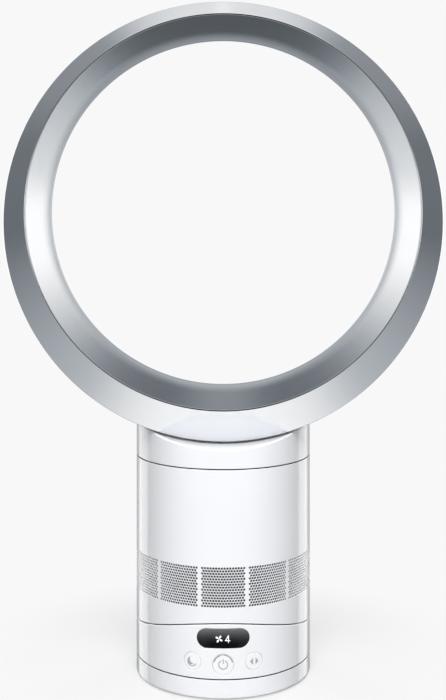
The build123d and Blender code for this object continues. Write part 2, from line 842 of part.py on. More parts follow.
# Motor driver board on the posts of the lower casing
with BuildPart() as driver_board:
    with BuildSketch(Plane.XY.offset(driver_board_low)):
        RectangleRounded(*driver_board_size, radius=2)
    extrude(amount=board_thickness)
    with BuildSketch(Plane.XY.offset(driver_board_low + board_thickness)):
        with Locations((-18, 4), (0, 4), (18, 4)):
            Rectangle(9, 12)
    extrude(amount=3.5)
driver_board.part.label = "driver_board"
export_step(driver_board.part, "parts/driver_board.step")

# Foam disc that dulls the noise under the impeller's inlet
lower_foam_radius = inner_radius - spigot_wall - running_gap
lower_foam_low = arc_height(body_low_radius - body_floor_thickness, lower_foam_radius) + running_gap
with BuildPart() as lower_foam:
    with BuildSketch(Plane.XY.offset(lower_foam_low)):
        Circle(lower_foam_radius)
        Circle(8, mode=Mode.SUBTRACT)
    extrude(amount=grille_low - lower_foam_low)
lower_foam.part.label = "lower_foam"
export_step(lower_foam.part, "parts/lower_foam.step")

# Perforated inlet band: twelve panels of holes with plain strips between them
grille_outer = body_radius
grille_inner = body_radius - grille_wall
panel_angle = 360 / grille_panels
hole_columns = 4
hole_rows = 5
column_pitch = (2 * pi * body_radius / grille_panels - grille_strip) / hole_columns
row_pitch = (grille_height - 1.0) / hole_rows
hole_radius = 0.42 * min(column_pitch, row_pitch)
with BuildPart() as inlet_grille:
    with BuildSketch(Plane.XY.offset(grille_low)):
        Circle(grille_outer)
        Circle(grille_inner, mode=Mode.SUBTRACT)
    extrude(amount=grille_height)
    for panel in range(grille_panels):
        panel_plane = front_plane(panel * panel_angle, (grille_low + grille_high) / 2, grille_inner - 4)
        with BuildSketch(panel_plane):
            for row in range(hole_rows):
                columns = hole_columns - row % 2
                with Locations((0, (row - (hole_rows - 1) / 2) * row_pitch)):
                    with GridLocations(column_pitch, 0, columns, 1):
                        RegularPolygon(hole_radius, 6)
        extrude(amount=10, mode=Mode.SUBTRACT)
inlet_grille.part.label = "inlet_grille"
export_step(inlet_grille.part, "parts/inlet_grille.step")

# Upper casing with a ledge for the air mover and a lip under the ring's neck
ledge_high = impeller_low + impeller_height + diffuser_height - 4.0
ledge_thickness = 3.0
ledge_inner = inner_radius - 12
lip_inner = duct_radius + lug_reach + fit_gap + running_gap
collar_screw_circle = (lip_inner + inner_radius) / 2
with BuildPart() as upper_casing:
    with BuildSketch(Plane.XZ):
        Polygon(
            (inner_radius - spigot_wall, grille_high - spigot_height),
            (inner_radius + fit_gap, grille_high - spigot_height),
            (inner_radius + fit_gap, grille_high),
            (body_radius, grille_high),
            (body_radius, body_top),
            (lip_inner, body_top),
            (lip_inner, body_top - casing_lip),
            (inner_radius, body_top - casing_lip),
            (inner_radius, ledge_high),
            (ledge_inner, ledge_high),
            (ledge_inner, ledge_high - ledge_thickness),
            (inner_radius, ledge_high - ledge_thickness),
            (inner_radius, grille_high + spigot_height),
            (inner_radius - spigot_wall, grille_high + spigot_height),
            align=None,
        )
    revolve(axis=Axis.Z)
    fillet(edges_at(upper_casing, body_radius).group_by(Axis.Z)[-1], radius=edge_round)
    with Locations(Plane.XY.offset(body_top)):
        with PolarLocations(collar_screw_circle, 3, 30):
            CounterBoreHole(screw_radius + fit_gap, screw_head_radius + fit_gap, screw_head_height, 4)
upper_casing.part.label = "upper_casing"
export_step(upper_casing.part, "parts/upper_casing.step")

# Collar with the grooves that the ring's lugs twist into
collar_high = body_top - casing_lip
collar_low = collar_high - collar_height
lug_low = collar_low + 3.0
groove_radius = duct_radius + lug_reach + fit_gap + running_gap
groove_start = -lug_half_angle - 1.0
groove_end = twist_range + lug_half_angle + 1.0
lock_band = arc_band(
    duct_radius, groove_radius, (groove_start + groove_end) / 2, (groove_end - groove_start) / 2
)
entry_start = twist_range - lug_half_angle - 1.0
entry_band = arc_band(
    duct_radius, groove_radius, (entry_start + groove_end) / 2, (groove_end - entry_start) / 2
)
with BuildPart() as body_collar:
    with BuildSketch(Plane.XY.offset(collar_low)):
        Circle(inner_radius - fit_gap)
        Circle(duct_radius + running_gap, mode=Mode.SUBTRACT)
        with PolarLocations(collar_screw_circle, 3, 30):
            Circle(screw_radius - fit_gap, mode=Mode.SUBTRACT)
    extrude(amount=collar_height)
    with BuildSketch(Plane.XY.offset(lug_low - running_gap)):
        with PolarLocations(0, lug_count):
            add(lock_band)
    extrude(amount=lug_height + 2 * running_gap, mode=Mode.SUBTRACT)
    with BuildSketch(Plane.XY.offset(lug_low - running_gap)):
        with PolarLocations(0, lug_count):
            add(entry_band)
    extrude(amount=collar_high - lug_low + 1, mode=Mode.SUBTRACT)
body_collar.part.label = "body_collar"
export_step(body_collar.part, "parts/body_collar.step")

with BuildPart() as collar_screws:
    with BuildSketch(Plane.XY.offset(body_top - screw_head_height)):
        with PolarLocations(collar_screw_circle, 3, 30):
            Circle(screw_head_radius)
    extrude(amount=screw_head_height - fit_gap)
    with BuildSketch(Plane.XY.offset(body_top - screw_head_height)):
        with PolarLocations(collar_screw_circle, 3, 30):
            Circle(screw_radius - 2 * fit_gap)
    extrude(amount=-10)
collar_screws.part.label = "collar_screws"
export_step(collar_screws.part, "parts/collar_screws.step")

# ---------------------------------------------------------------- air mover

impeller_high = impeller_low + impeller_height
diffuser_low = impeller_high + 2.0
diffuser_high = diffuser_low + diffuser_height
bell_radius = outlet_radius
bell_low = impeller_low - 7.0
flange_reach = inner_radius - 4.0
shroud_flange = outlet_radius + shroud_wall + 4

# Bell mouth and shroud round the impeller
with BuildPart() as impeller_housing:
    with BuildSketch(Plane.XZ):
        with BuildLine():
            Polyline(
                (inlet_radius, impeller_low),
                (outlet_radius, impeller_high),
                (outlet_radius, diffuser_low),
                (shroud_flange, diffuser_low),
                (shroud_flange, diffuser_low - shroud_wall),
                (outlet_radius + shroud_wall, diffuser_low - shroud_wall),
                (outlet_radius + shroud_wall, impeller_high - 1),
                (inlet_radius + shroud_wall, impeller_low + 1),
                (bell_radius, bell_low + shroud_wall),
                (bell_radius, bell_low),
            )
            ThreePointArc(
                (bell_radius, bell_low),
                (inlet_radius + 5.5, bell_low + 2.2),
                (inlet_radius, impeller_low),
            )
        make_face()
    revolve(axis=Axis.Z)
impeller_housing.part.label = "impeller_housing"
export_step(impeller_housing.part, "parts/impeller_housing.step")

# Flow channel of the impeller, which trims its blades
with BuildPart() as blade_space:
    with BuildSketch(Plane.XZ):
        Polygon(
            (hub_low_radius - 1, impeller_low),
            (inlet_radius - impeller_gap, impeller_low),
            (outlet_radius - impeller_gap, impeller_high),
            (hub_high_radius - 1, impeller_high),
            align=None,
        )
    revolve(axis=Axis.Z)

with BuildPart() as twisted_blade:
    for share in (0.0, 0.5, 1.0):
        level = impeller_low + share * impeller_height
        with BuildSketch(Plane.XY.offset(level).rotated((0, 0, blade_twist * share))):
            Rectangle(outlet_radius + 2, blade_thickness, align=(Align.MIN, Align.CENTER))
    loft()

# Mixed-flow impeller
shaft_radius = 2.5
with BuildPart() as impeller:
    with PolarLocations(0, impeller_blades):
        add(twisted_blade.part)
    add(blade_space.part, mode=Mode.INTERSECT)
    with BuildSketch(Plane.XZ):
        Polygon(
            (shaft_radius + shaft_gap, impeller_low - 3),
            (hub_low_radius - 3, impeller_low - 3),
            (hub_low_radius, impeller_low),
            (hub_high_radius, impeller_high),
            (shaft_radius + shaft_gap, impeller_high),
            align=None,
        )
    revolve(axis=Axis.Z)
    with BuildSketch(Plane.XY.offset(impeller_low - 3)):
        Circle(shaft_radius + shaft_gap)
    extrude(amount=impeller_height + 3, mode=Mode.SUBTRACT)
impeller.part.label = "impeller"
export_step(impeller.part, "parts/impeller.step")

# Diffuser: outer wall, still vanes and the motor's bucket in one moulding
vane_height = diffuser_height - 8
bucket_low = diffuser_low
bucket_high = diffuser_high - 3
upper_bearing_high = bucket_high - bucket_wall
with BuildPart() as diffuser:
    with BuildSketch(Plane.XZ):
        Polygon(
            (outlet_radius, diffuser_low),
            (outlet_radius + shroud_wall, diffuser_low),
            (outlet_radius + shroud_wall, diffuser_high - shroud_wall),
            (flange_reach, diffuser_high - shroud_wall),
            (flange_reach, diffuser_high),
            (duct_radius - duct_wall, diffuser_high),
            (outlet_radius, diffuser_high - 2 * shroud_wall),
            align=None,
        )
    revolve(axis=Axis.Z)
    with BuildSketch(Plane.XZ):
        Polygon(
            (bucket_radius - bucket_wall, bucket_low),
            (bucket_radius, bucket_low),
            (bucket_radius, bucket_high - 5),
            (bucket_radius - 9, bucket_high),
            (0, bucket_high),
            (0, upper_bearing_high),
            (bearing_radius + fit_gap, upper_bearing_high),
            (bearing_radius + fit_gap, upper_bearing_high - bearing_height),
            (bearing_radius + 2, upper_bearing_high - bearing_height),
            (bucket_radius - 10, upper_bearing_high),
            (bucket_radius - bucket_wall, upper_bearing_high - 5),
            align=None,
        )
    revolve(axis=Axis.Z)
    for vane in range(diffuser_vanes):
        vane_angle = 360 * vane / diffuser_vanes
        with BuildSketch(front_plane(vane_angle, diffuser_low + 3, bucket_radius - 1)):
            with BuildLine():
                ThreePointArc((-5, 0), (-1, vane_height * 0.45), (0, vane_height))
                Line((0, vane_height), (vane_thickness, vane_height))
                ThreePointArc(
                    (vane_thickness, vane_height),
                    (vane_thickness - 1, vane_height * 0.45),
                    (vane_thickness - 5, 0),
                )
                Line((vane_thickness - 5, 0), (-5, 0))
            make_face()
        extrude(amount=outlet_radius - bucket_radius + 2)
diffuser.part.label = "diffuser"
export_step(diffuser.part, "parts/diffuser.step")

# Cover of the bucket with the lower bearing's seat
cover_thickness = 2.4
cover_low = bucket_low + fit_gap
lower_bearing_low = cover_low
with BuildPart() as motor_cover:
    with BuildSketch(Plane.XZ):
        Polygon(
            (bearing_radius + fit_gap, cover_low),
            (bucket_radius - bucket_wall - fit_gap, cover_low),
            (bucket_radius - bucket_wall - fit_gap, cover_low + cover_thickness),
            (bearing_radius + 2, cover_low + cover_thickness),
            (bearing_radius + 2, cover_low + bearing_height),
            (bearing_radius + fit_gap, cover_low + bearing_height),
            align=None,
        )
    revolve(axis=Axis.Z)
motor_cover.part.label = "motor_cover"
export_step(motor_cover.part, "parts/motor_cover.step")

with BuildPart() as motor_bearings:
    for low in (lower_bearing_low, upper_bearing_high - bearing_height):
        with BuildSketch(Plane.XY.offset(low)):
            Circle(bearing_radius)
            Circle(shaft_radius + shaft_gap, mode=Mode.SUBTRACT)
        extrude(amount=bearing_height)
motor_bearings.part.label = "motor_bearings"
export_step(motor_bearings.part, "parts/motor_bearings.step")

# Stator with six wound poles round the rotor
stator_low = cover_low + bearing_height + 0.4
stator_height = upper_bearing_high - bearing_height - 1.2 - stator_low
stator_outer = bucket_radius - bucket_wall - fit_gap
with BuildPart() as motor_stator:
    with BuildSketch(Plane.XY.offset(stator_low)):
        Circle(stator_outer)
        Circle(stator_outer - 4, mode=Mode.SUBTRACT)
        with PolarLocations((stator_outer + rotor_radius) / 2, 6):
            Rectangle(stator_outer - rotor_radius - 2, 6.5)
        Circle(rotor_radius + air_gap, mode=Mode.SUBTRACT)
    extrude(amount=stator_height)
motor_stator.part.label = "motor_stator"
export_step(motor_stator.part, "parts/motor_stator.step")

with BuildPart() as motor_rotor:
    with BuildSketch(Plane.XY.offset(stator_low)):
        Circle(rotor_radius)
        Circle(shaft_radius + shaft_gap, mode=Mode.SUBTRACT)
    extrude(amount=stator_height)
motor_rotor.part.label = "motor_rotor"
export_step(motor_rotor.part, "parts/motor_rotor.step")

with BuildPart() as motor_shaft:
    with BuildSketch(Plane.XY.offset(impeller_low - 3)):
        Circle(shaft_radius)
    extrude(amount=upper_bearing_high - fit_gap - impeller_low + 3)
motor_shaft.part.label = "motor_shaft"
export_step(motor_shaft.part, "parts/motor_shaft.step")

# Rubber mounts between the ledge and the diffuser's flange
with BuildPart() as rubber_mounts:
    with BuildSketch(Plane.XY.offset(ledge_high)):
        with PolarLocations((ledge_inner + flange_reach) / 2, 3, 90):
            Circle(3.6)
    extrude(amount=diffuser_high - shroud_wall - ledge_high)
rubber_mounts.part.label = "rubber_mounts"
export_step(rubber_mounts.part, "parts/rubber_mounts.step")

# Foam ring between the shroud and the casing
foam_inner = shroud_flange + 0.5
with BuildPart() as upper_foam:
    with BuildSketch(Plane.XY.offset(grille_high + spigot_height + 2)):
        Circle(inner_radius - fit_gap)
        Circle(foam_inner, mode=Mode.SUBTRACT)
    extrude(amount=ledge_high - ledge_thickness - grille_high - spigot_height - 2)
upper_foam.part.label = "upper_foam"
export_step(upper_foam.part, "parts/upper_foam.step")

# Rubber ring that seals the diffuser to the ring's duct
duct_low = collar_low - 2.0
with BuildPart() as duct_seal:
    with BuildSketch(Plane.XY.offset(diffuser_high)):
        Circle(duct_radius + 2)
        Circle(duct_radius - duct_wall, mode=Mode.SUBTRACT)
    extrude(amount=duct_low - running_gap - diffuser_high)
duct_seal.part.label = "duct_seal"
export_step(duct_seal.part, "parts/duct_seal.step")

# ---------------------------------------------------------------- ring and neck

outer_axis_height = ring_axis_height - ring_drop
saddle_radius = corner_radius + neck_gap
opening_half = (neck_opening_width / 2, neck_opening_depth / 2)
neck_low = loop_low
duct_flange_height = 2.0


def ring_plane(depth, drop=0.0):
    """Plane across the ring's axis at this depth, its origin lowered by drop."""
    return back_plane(depth, ring_axis_height - drop)


def along_ring_axis(height):
    """Axis parallel to the ring's own at this height."""
    return Axis((0, 0, height), (0, 1, 0))


# Space inside the neck, under the saddle
with BuildPart() as neck_hollow:
    with BuildSketch(Plane.XY.offset(neck_low)):
        Circle(inner_radius)
    extrude(amount=tall / 4)
    with BuildSketch(back_plane(0, outer_axis_height)):
        Circle(saddle_radius + neck_wall)
    extrude(amount=tall, both=True, mode=Mode.SUBTRACT)

# Neck shell, its top hollowed to the round of the ring
with BuildPart() as neck_shell:
    with BuildSketch(Plane.XY.offset(neck_low)):
        Circle(body_radius)
    extrude(amount=tall / 4)
    with BuildSketch(back_plane(0, outer_axis_height)):
        Circle(saddle_radius)
    extrude(amount=tall, both=True, mode=Mode.SUBTRACT)
    fillet(edges_at(neck_shell, body_radius).sort_by(Axis.Z)[0], radius=edge_round)
    fillet(edges_at(neck_shell, body_radius), radius=neck_edge_round)
    add(neck_hollow.part, mode=Mode.SUBTRACT)
    with BuildSketch(Plane.XY.offset(neck_low)):
        Ellipse(opening_half[0] + fit_gap, opening_half[1] + fit_gap)
    extrude(amount=tall / 4, mode=Mode.SUBTRACT)
neck_shell.part.label = "neck_shell"
export_step(neck_shell.part, "parts/neck_shell.step")

# Duct from the body up into the ring, with the twist lugs and the neck's floor
transition_low = neck_low + duct_flange_height
transition_high = outer_axis_height - saddle_radius - neck_wall - 0.5
with BuildPart() as duct_bore:
    with BuildSketch(Plane.XY.offset(transition_low)):
        Circle(duct_radius - duct_wall)
    with BuildSketch(Plane.XY.offset(transition_high)):
        Ellipse(opening_half[0] - duct_wall, opening_half[1] - duct_wall)
    loft()
    with BuildSketch(Plane.XY.offset(duct_low)):
        Circle(duct_radius - duct_wall)
    extrude(amount=transition_low - duct_low)
    with BuildSketch(Plane.XY.offset(transition_high)):
        Ellipse(opening_half[0] - duct_wall, opening_half[1] - duct_wall)
    extrude(amount=tall / 4)

lug_band = arc_band(duct_radius - 1, duct_radius + lug_reach, 0, lug_half_angle)
with BuildPart() as loop_duct:
    with BuildSketch(Plane.XY.offset(duct_low)):
        Circle(duct_radius)
    extrude(amount=transition_low - duct_low)
    with BuildSketch(Plane.XY.offset(neck_low + fit_gap)):
        Circle(inner_radius - fit_gap)
    extrude(amount=duct_flange_height - fit_gap)
    with BuildSketch(Plane.XY.offset(transition_low)):
        Circle(duct_radius)
    with BuildSketch(Plane.XY.offset(transition_high)):
        Ellipse(*opening_half)
    loft()
    with BuildSketch(Plane.XY.offset(transition_high)):
        Ellipse(*opening_half)
    extrude(amount=tall / 8)
    with BuildSketch(back_plane(0, outer_axis_height)):
        Circle(corner_radius - shell_wall - 3.5)
    extrude(amount=tall, both=True, mode=Mode.SUBTRACT)
    with BuildSketch(Plane.XY.offset(lug_low)):
        with PolarLocations(0, lug_count):
            add(lug_band)
    extrude(amount=lug_height)
    add(duct_bore.part, mode=Mode.SUBTRACT)
loop_duct.part.label = "loop_duct"
export_step(loop_duct.part, "parts/loop_duct.step")

bezel_thickness = 2.6
casing_front = corner_depth + bezel_thickness
taper_shares = (0.25, 0.5, 0.75)
roll_angles = range(0, 91, 10)


def casing_stations(inset):
    """Depth, radius and drop of the outer casing's circles, inset by a wall's thickness."""
    stations = [(casing_front, corner_radius - inset, ring_drop)]
    for share in taper_shares:
        depth = casing_front + (roll_start - casing_front) * share
        eased = share**2 * (3 - 2 * share)
        stations.append((depth, corner_radius - inset - casing_taper * eased, ring_drop))
    crown = roll_start, corner_radius - casing_taper - roll_height
    for angle in roll_angles:
        reach = cos(radians(angle))
        depth = crown[0] + (roll_depth - inset) * sin(radians(angle))
        radius = crown[1] + (roll_height - inset) * reach
        stations.append((depth, radius, ring_drop * reach))
    return stations


roll_radius = corner_radius - casing_taper - roll_height
roll_back = roll_start + roll_depth

with BuildPart() as casing_form:
    for depth, radius, drop in casing_stations(0):
        with BuildSketch(ring_plane(depth, drop)):
            Circle(radius)
    loft(ruled=True)

with BuildPart() as chamber_form:
    with BuildSketch(ring_plane(casing_front - 1, ring_drop)):
        Circle(corner_radius - shell_wall)
    for depth, radius, drop in casing_stations(shell_wall):
        with BuildSketch(ring_plane(depth, drop)):
            Circle(radius)
    loft(ruled=True)

# Outer casing of the ring, rolled over at the back
with BuildPart() as outer_casing:
    add(casing_form.part)
    add(chamber_form.part, mode=Mode.SUBTRACT)
    with BuildSketch(ring_plane(roll_start)):
        Circle(roll_radius)
    extrude(amount=2 * roll_depth, mode=Mode.SUBTRACT)
    with BuildSketch(Plane.XY.offset(neck_low)):
        Ellipse(opening_half[0] + fit_gap, opening_half[1] + fit_gap)
    extrude(amount=tall / 4, mode=Mode.SUBTRACT)
outer_casing.part.label = "outer_casing"
export_step(outer_casing.part, "parts/outer_casing.step")

# Front bevel between the corner and the lip, wider below than above
bezel_bore = lip_radius + shell_wall + fit_gap
with BuildPart() as bezel_back:
    with BuildSketch(ring_plane(lip_depth + bezel_thickness)):
        Circle(lip_radius)
    with BuildSketch(ring_plane(corner_depth + bezel_thickness, ring_drop)):
        Circle(corner_radius)
    loft(ruled=True)

with BuildPart() as front_bezel:
    with BuildSketch(ring_plane(lip_depth)):
        Circle(lip_radius)
    with BuildSketch(ring_plane(corner_depth, ring_drop)):
        Circle(corner_radius)
    loft(ruled=True)
    with BuildSketch(ring_plane(corner_depth, ring_drop)):
        Circle(corner_radius)
    extrude(amount=bezel_thickness)
    corner_edges = front_bezel.edges().filter_by(GeomType.CIRCLE).group_by(Axis.Y)[1]
    fillet(corner_edges, radius=bezel_round)
    add(bezel_back.part, mode=Mode.SUBTRACT)
    with BuildSketch(ring_plane(lip_depth - 1)):
        Circle(bezel_bore)
    extrude(amount=roll_back, mode=Mode.SUBTRACT)
front_bezel.part.label = "front_bezel"
export_step(front_bezel.part, "parts/front_bezel.step")

# Inner casing: rounded lip, tapering flow surface, throat and the nose that the air bends round
nose_depth = throat_depth + nose_run
nose_radius = throat_radius + nose_rise
nose_bend = (nose_run**2 + nose_rise**2) / (2 * nose_rise)
nose_half = asin(nose_run / nose_bend) / 2
nose_middle = nose_bend * (1 - cos(nose_half))
slope = radians(flow_slope)
excess = (throat_depth - lip_depth) * tan(slope) - (lip_radius - throat_radius)
throat_bend = excess * cos(slope) / (1 - cos(slope))
bend_start = throat_depth - throat_bend * sin(slope)
bend_radius = throat_radius + throat_bend * (1 - cos(slope))
with BuildPart() as inner_casing:
    with BuildSketch(Plane.YZ):
        with BuildLine():
            ThreePointArc(
                (lip_depth, ring_axis_height + lip_radius + shell_wall),
                (lip_depth - shell_wall / 2, ring_axis_height + lip_radius + shell_wall / 2),
                (lip_depth, ring_axis_height + lip_radius),
            )
            Line(
                (lip_depth, ring_axis_height + lip_radius),
                (bend_start, ring_axis_height + bend_radius),
            )
            TangentArc(
                (bend_start, ring_axis_height + bend_radius),
                (throat_depth, ring_axis_height + throat_radius),
                tangent=(cos(slope), -sin(slope)),
            )
            ThreePointArc(
                (throat_depth, ring_axis_height + throat_radius),
                (
                    throat_depth + nose_bend * sin(nose_half),
                    ring_axis_height + throat_radius + nose_middle,
                ),
                (nose_depth, ring_axis_height + nose_radius),
            )
            Line(
                (nose_depth, ring_axis_height + nose_radius),
                (nose_depth - 1.2, ring_axis_height + nose_radius + 1.6),
            )
            Line(
                (nose_depth - 1.2, ring_axis_height + nose_radius + 1.6),
                (throat_depth, ring_axis_height + throat_radius + shell_wall),
            )
            TangentArc(
                (throat_depth, ring_axis_height + throat_radius + shell_wall),
                (bend_start, ring_axis_height + bend_radius + shell_wall),
                tangent=(-1, 0),
            )
            Line(
                (bend_start, ring_axis_height + bend_radius + shell_wall),
                (lip_depth, ring_axis_height + lip_radius + shell_wall),
            )
        make_face()
    revolve(axis=along_ring_axis(ring_axis_height))
inner_casing.part.label = "inner_casing"
export_step(inner_casing.part, "parts/inner_casing.step")

# Rear trim: rolls from the casing to the thin lip that feeds the slot
slot_edge = sqrt((nose_bend + slot_gap) ** 2 - (slot_lip_depth - throat_depth) ** 2)
slot_lip_inner = throat_radius + nose_bend - slot_edge - slot_lip
trim_outer = roll_radius - fit_gap
with BuildPart() as rear_trim:
    with BuildSketch(Plane.YZ):
        with BuildLine():
            roll = EllipticalCenterArc(
                (roll_back - 8, ring_axis_height + trim_outer),
                8,
                trim_outer - slot_lip_inner,
                start_angle=-90,
                arc_size=90,
            )
            Line(roll @ 1, (roll_back - shell_wall, ring_axis_height + trim_outer))
            back = EllipticalCenterArc(
                (roll_back - 8, ring_axis_height + trim_outer),
                8 - shell_wall,
                trim_outer - slot_lip_inner - shell_wall,
                start_angle=-90,
                arc_size=90,
            )
            Line(back @ 0, (slot_lip_depth, ring_axis_height + slot_lip_inner + slot_lip))
            Line(
                (slot_lip_depth, ring_axis_height + slot_lip_inner + slot_lip),
                (slot_lip_depth, ring_axis_height + slot_lip_inner),
            )
            Line((slot_lip_depth, ring_axis_height + slot_lip_inner), roll @ 0)
        make_face()
    revolve(axis=along_ring_axis(ring_axis_height))
rear_trim.part.label = "rear_trim"
export_step(rear_trim.part, "parts/rear_trim.step")

print("ring top", round(outer_axis_height + corner_radius, 1))
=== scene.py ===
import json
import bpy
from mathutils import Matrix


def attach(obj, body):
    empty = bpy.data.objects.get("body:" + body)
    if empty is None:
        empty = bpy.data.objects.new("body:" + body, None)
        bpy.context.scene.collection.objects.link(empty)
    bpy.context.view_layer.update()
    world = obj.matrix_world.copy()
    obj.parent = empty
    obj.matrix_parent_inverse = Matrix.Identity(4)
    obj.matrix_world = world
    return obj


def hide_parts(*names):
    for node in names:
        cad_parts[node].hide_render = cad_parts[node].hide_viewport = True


bl_info = {
    "name": "Bladeless fan dressing",
    "version": (1, 0, 0),
    "blender": (4, 5, 0),
    "location": "3D View > Sidebar > Fan",
    "description": "Ring shells, air inlet, marks, finishes and studio of a bladeless desk fan",
    "category": "Object",
}

from math import acos, asin, atan2, cos, degrees, hypot, pi, radians, sin, sqrt, tan

import bmesh
import bpy

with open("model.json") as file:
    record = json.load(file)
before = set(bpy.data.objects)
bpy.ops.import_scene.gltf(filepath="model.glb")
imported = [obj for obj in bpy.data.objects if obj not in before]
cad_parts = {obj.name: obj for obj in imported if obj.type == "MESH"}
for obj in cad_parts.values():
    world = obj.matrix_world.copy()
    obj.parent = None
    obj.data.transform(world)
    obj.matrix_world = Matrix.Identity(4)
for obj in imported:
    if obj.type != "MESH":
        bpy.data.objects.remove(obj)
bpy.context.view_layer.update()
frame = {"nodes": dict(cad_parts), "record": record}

# The frame is in metres; sizes are written in millimetres.
MM = 0.001
# A quarter-round edge is drawn through its middle, this share of its radius inside both faces.
EDGE_MIDDLE = 0.3


# ---------------------------------------------------------------- colours


def linear(code):
    """Linear RGBA of an sRGB hex colour."""
    channels = []
    for start in (1, 3, 5):
        value = int(code[start : start + 2], 16) / 255
        channels.append(value / 12.92 if value <= 0.04045 else ((value + 0.055) / 1.055) ** 2.4)
    return (*channels, 1.0)


def colour_property(label, use, code):
    """A colour that the user can change, given as sRGB hex."""
    return bpy.props.FloatVectorProperty(
        name=label, description=use, subtype="COLOR", size=4, min=0.0, max=1.0, default=linear(code)
    )


def length_property(label, use, millimetres):
    """A length that the user can change, given in millimetres."""
    return bpy.props.FloatProperty(
        name=label, description=use, unit="LENGTH", precision=5, default=millimetres * MM
    )


# ---------------------------------------------------------------- properties


class FanRingSizes(bpy.types.PropertyGroup):
    """Sizes of the ring's four shells."""

    axis_height: length_property("Axis height", "Height of the opening's axis", 382.0)
    drop: length_property("Drop", "How far the outer casing's axis lies below the opening's", 7.5)
    corner_radius: length_property("Corner radius", "Radius of the corner round the front", 176.38)
    corner_depth: length_property("Corner depth", "Where the bevel meets the casing", -48.0)
    lip_radius: length_property("Lip radius", "Radius of the opening at the front", 157.2)
    lip_depth: length_property("Lip depth", "Where the bevel reaches the lip", -64.0)
    lip_bead: length_property("Lip bead", "Radius of the bead on the lip", 1.0)
    wall: length_property("Wall", "Thickness of the shells", 2.3)
    bevel_thickness: length_property("Bevel thickness", "Thickness along the axis", 2.6)
    arris: length_property("Arris", "Rounding of the corner between bevel and casing", 1.3)
    taper: length_property("Taper", "How much smaller the casing is where its roll begins", 1.9)
    roll_start: length_property("Roll start", "Where the back roll begins", 22.0)
    roll_depth: length_property("Roll depth", "Depth of the back roll", 26.0)
    roll_height: length_property("Roll height", "Height of the back roll", 15.5)
    throat_radius: length_property("Throat radius", "Narrowest radius of the flow surface", 148.0)
    throat_depth: length_property("Throat depth", "Where the flow surface is narrowest", 20.0)
    slot_gap: length_property("Slot gap", "Width of the slot that the air leaves by", 1.0)
    slot_lip: length_property("Slot lip", "Thickness of the rear trim's lip", 0.9)
    slot_lip_depth: length_property("Slot lip depth", "Where the rear trim's lip ends", 31.0)
    nose_run: length_property("Nose run", "How far the nose reaches behind the throat", 14.0)
    nose_rise: length_property("Nose rise", "How far the nose turns away from the axis", 6.6)
    seam: length_property("Seam", "Gap between the ring's shells", 0.12)
    flow_slope: bpy.props.FloatProperty(
        name="Flow slope",
        description="Angle of the flow surface's cone to the axis",
        subtype="ANGLE",
        default=radians(7.8),
    )
    steps: bpy.props.IntProperty(
        name="Steps", description="Facets round the ring", default=384, min=48
    )


class FanInletSizes(bpy.types.PropertyGroup):
    """Sizes of the perforated air inlet."""

    radius: length_property("Radius", "Outer radius of the band", 72.5)
    wall: length_property("Wall", "Thickness of the band", 0.5)
    liner: length_property("Liner", "Thickness of the filter cloth behind the holes", 1.3)
    low: length_property("Low edge", "Height of the band's lower edge", 72.4)
    high: length_property("High edge", "Height of the band's upper edge", 104.7)
    margin: length_property("Margin", "Plain rim above and below the holes", 0.3)
    strip: length_property("Strip", "Width of the plain strips between the panels", 2.4)
    hole: length_property("Hole", "Diameter of the holes", 2.06)
    panels: bpy.props.IntProperty(name="Panels", description="Panels round the band", default=12)
    columns: bpy.props.IntProperty(name="Columns", description="Holes across a panel", default=16)
    rows: bpy.props.IntProperty(name="Rows", description="Rows of holes", default=15)


class FanControlSizes(bpy.types.PropertyGroup):
    """Sizes of the display window, the buttons and their printed marks."""

    radius: length_property("Radius", "Radius of the faces of the window and the caps", 72.42)
    window_width: length_property("Window width", "Overall width of the window", 41.2)
    window_height: length_property("Window height", "Height of the window", 15.3)
    window_middle: length_property("Window middle", "Height of the window's middle", 48.6)
    window_wall: length_property("Window wall", "Thickness of the window", 2.1)
    side_radius: length_property("Side button radius", "Radius of the two outer buttons", 7.0)
    side_middle: length_property("Side button height", "Height of the two outer buttons", 29.6)
    power_radius: length_property("Power button radius", "Radius of the middle button", 8.2)
    power_middle: length_property("Power button height", "Height of the middle button", 28.3)
    flange: length_property("Flange", "How far a cap's flange reaches past its face", 1.3)
    print_depth: length_property("Print", "Thickness of the printed marks", 0.03)
    side_angle: bpy.props.FloatProperty(
        name="Side angle",
        description="Angle of the outer buttons from the front",
        subtype="ANGLE",
        default=radians(19.7),
    )


class FanColours(bpy.types.PropertyGroup):
    """Colours of the finishes."""

    casing: colour_property("Casing", "Gloss white casings", "#F0F1F4")
    ring: colour_property("Ring", "Silver lacquer of the ring", "#E6E8EA")
    cap: colour_property("Cap", "White button caps", "#F1F2F4")
    window: colour_property("Window", "Tinted window", "#0E0F10")
    # Grey along the window's top: painted highlight, standing in for reflected light on its upper
    # edge.
    painted_highlight: colour_property("Window haze", "Upper edge of the tinted window", "#747678")
    mark: colour_property("Mark", "Grey print on the buttons", "#A9ACB0")
    # Arc: painted shade over the middle button, standing in for the shade of its recess.
    arc: colour_property("Arc", "Darker print over the middle button", "#94979B")
    digit: colour_property("Digit", "Lit marks behind the window", "#EDEFF2")
    inner: colour_property("Inner plastic", "Grey inner mouldings", "#5A5C5F")
    rubber: colour_property("Rubber", "Black rubber", "#1C1C1D")
    nylon: colour_property("Nylon", "Natural nylon", "#DCD6C6")
    steel: colour_property("Steel", "Zinc-plated steel", "#B9BCC0")
    bearing: colour_property("Bearing", "Ground bearing steel", "#C6C8CA")
    bronze: colour_property("Bronze", "Sintered bronze", "#A9824B")
    iron: colour_property("Iron", "Cast iron", "#4A4A4B")
    board: colour_property("Board", "Solder mask of the boards", "#17512F")
    foam: colour_property("Foam", "Open-cell foam", "#232325")
    shade: colour_property("Shade", "Cool cast of the backdrop's darker parts", "#E6F2FF")
    studio: colour_property("Studio", "Floor and backdrop", "#F8F8F8")


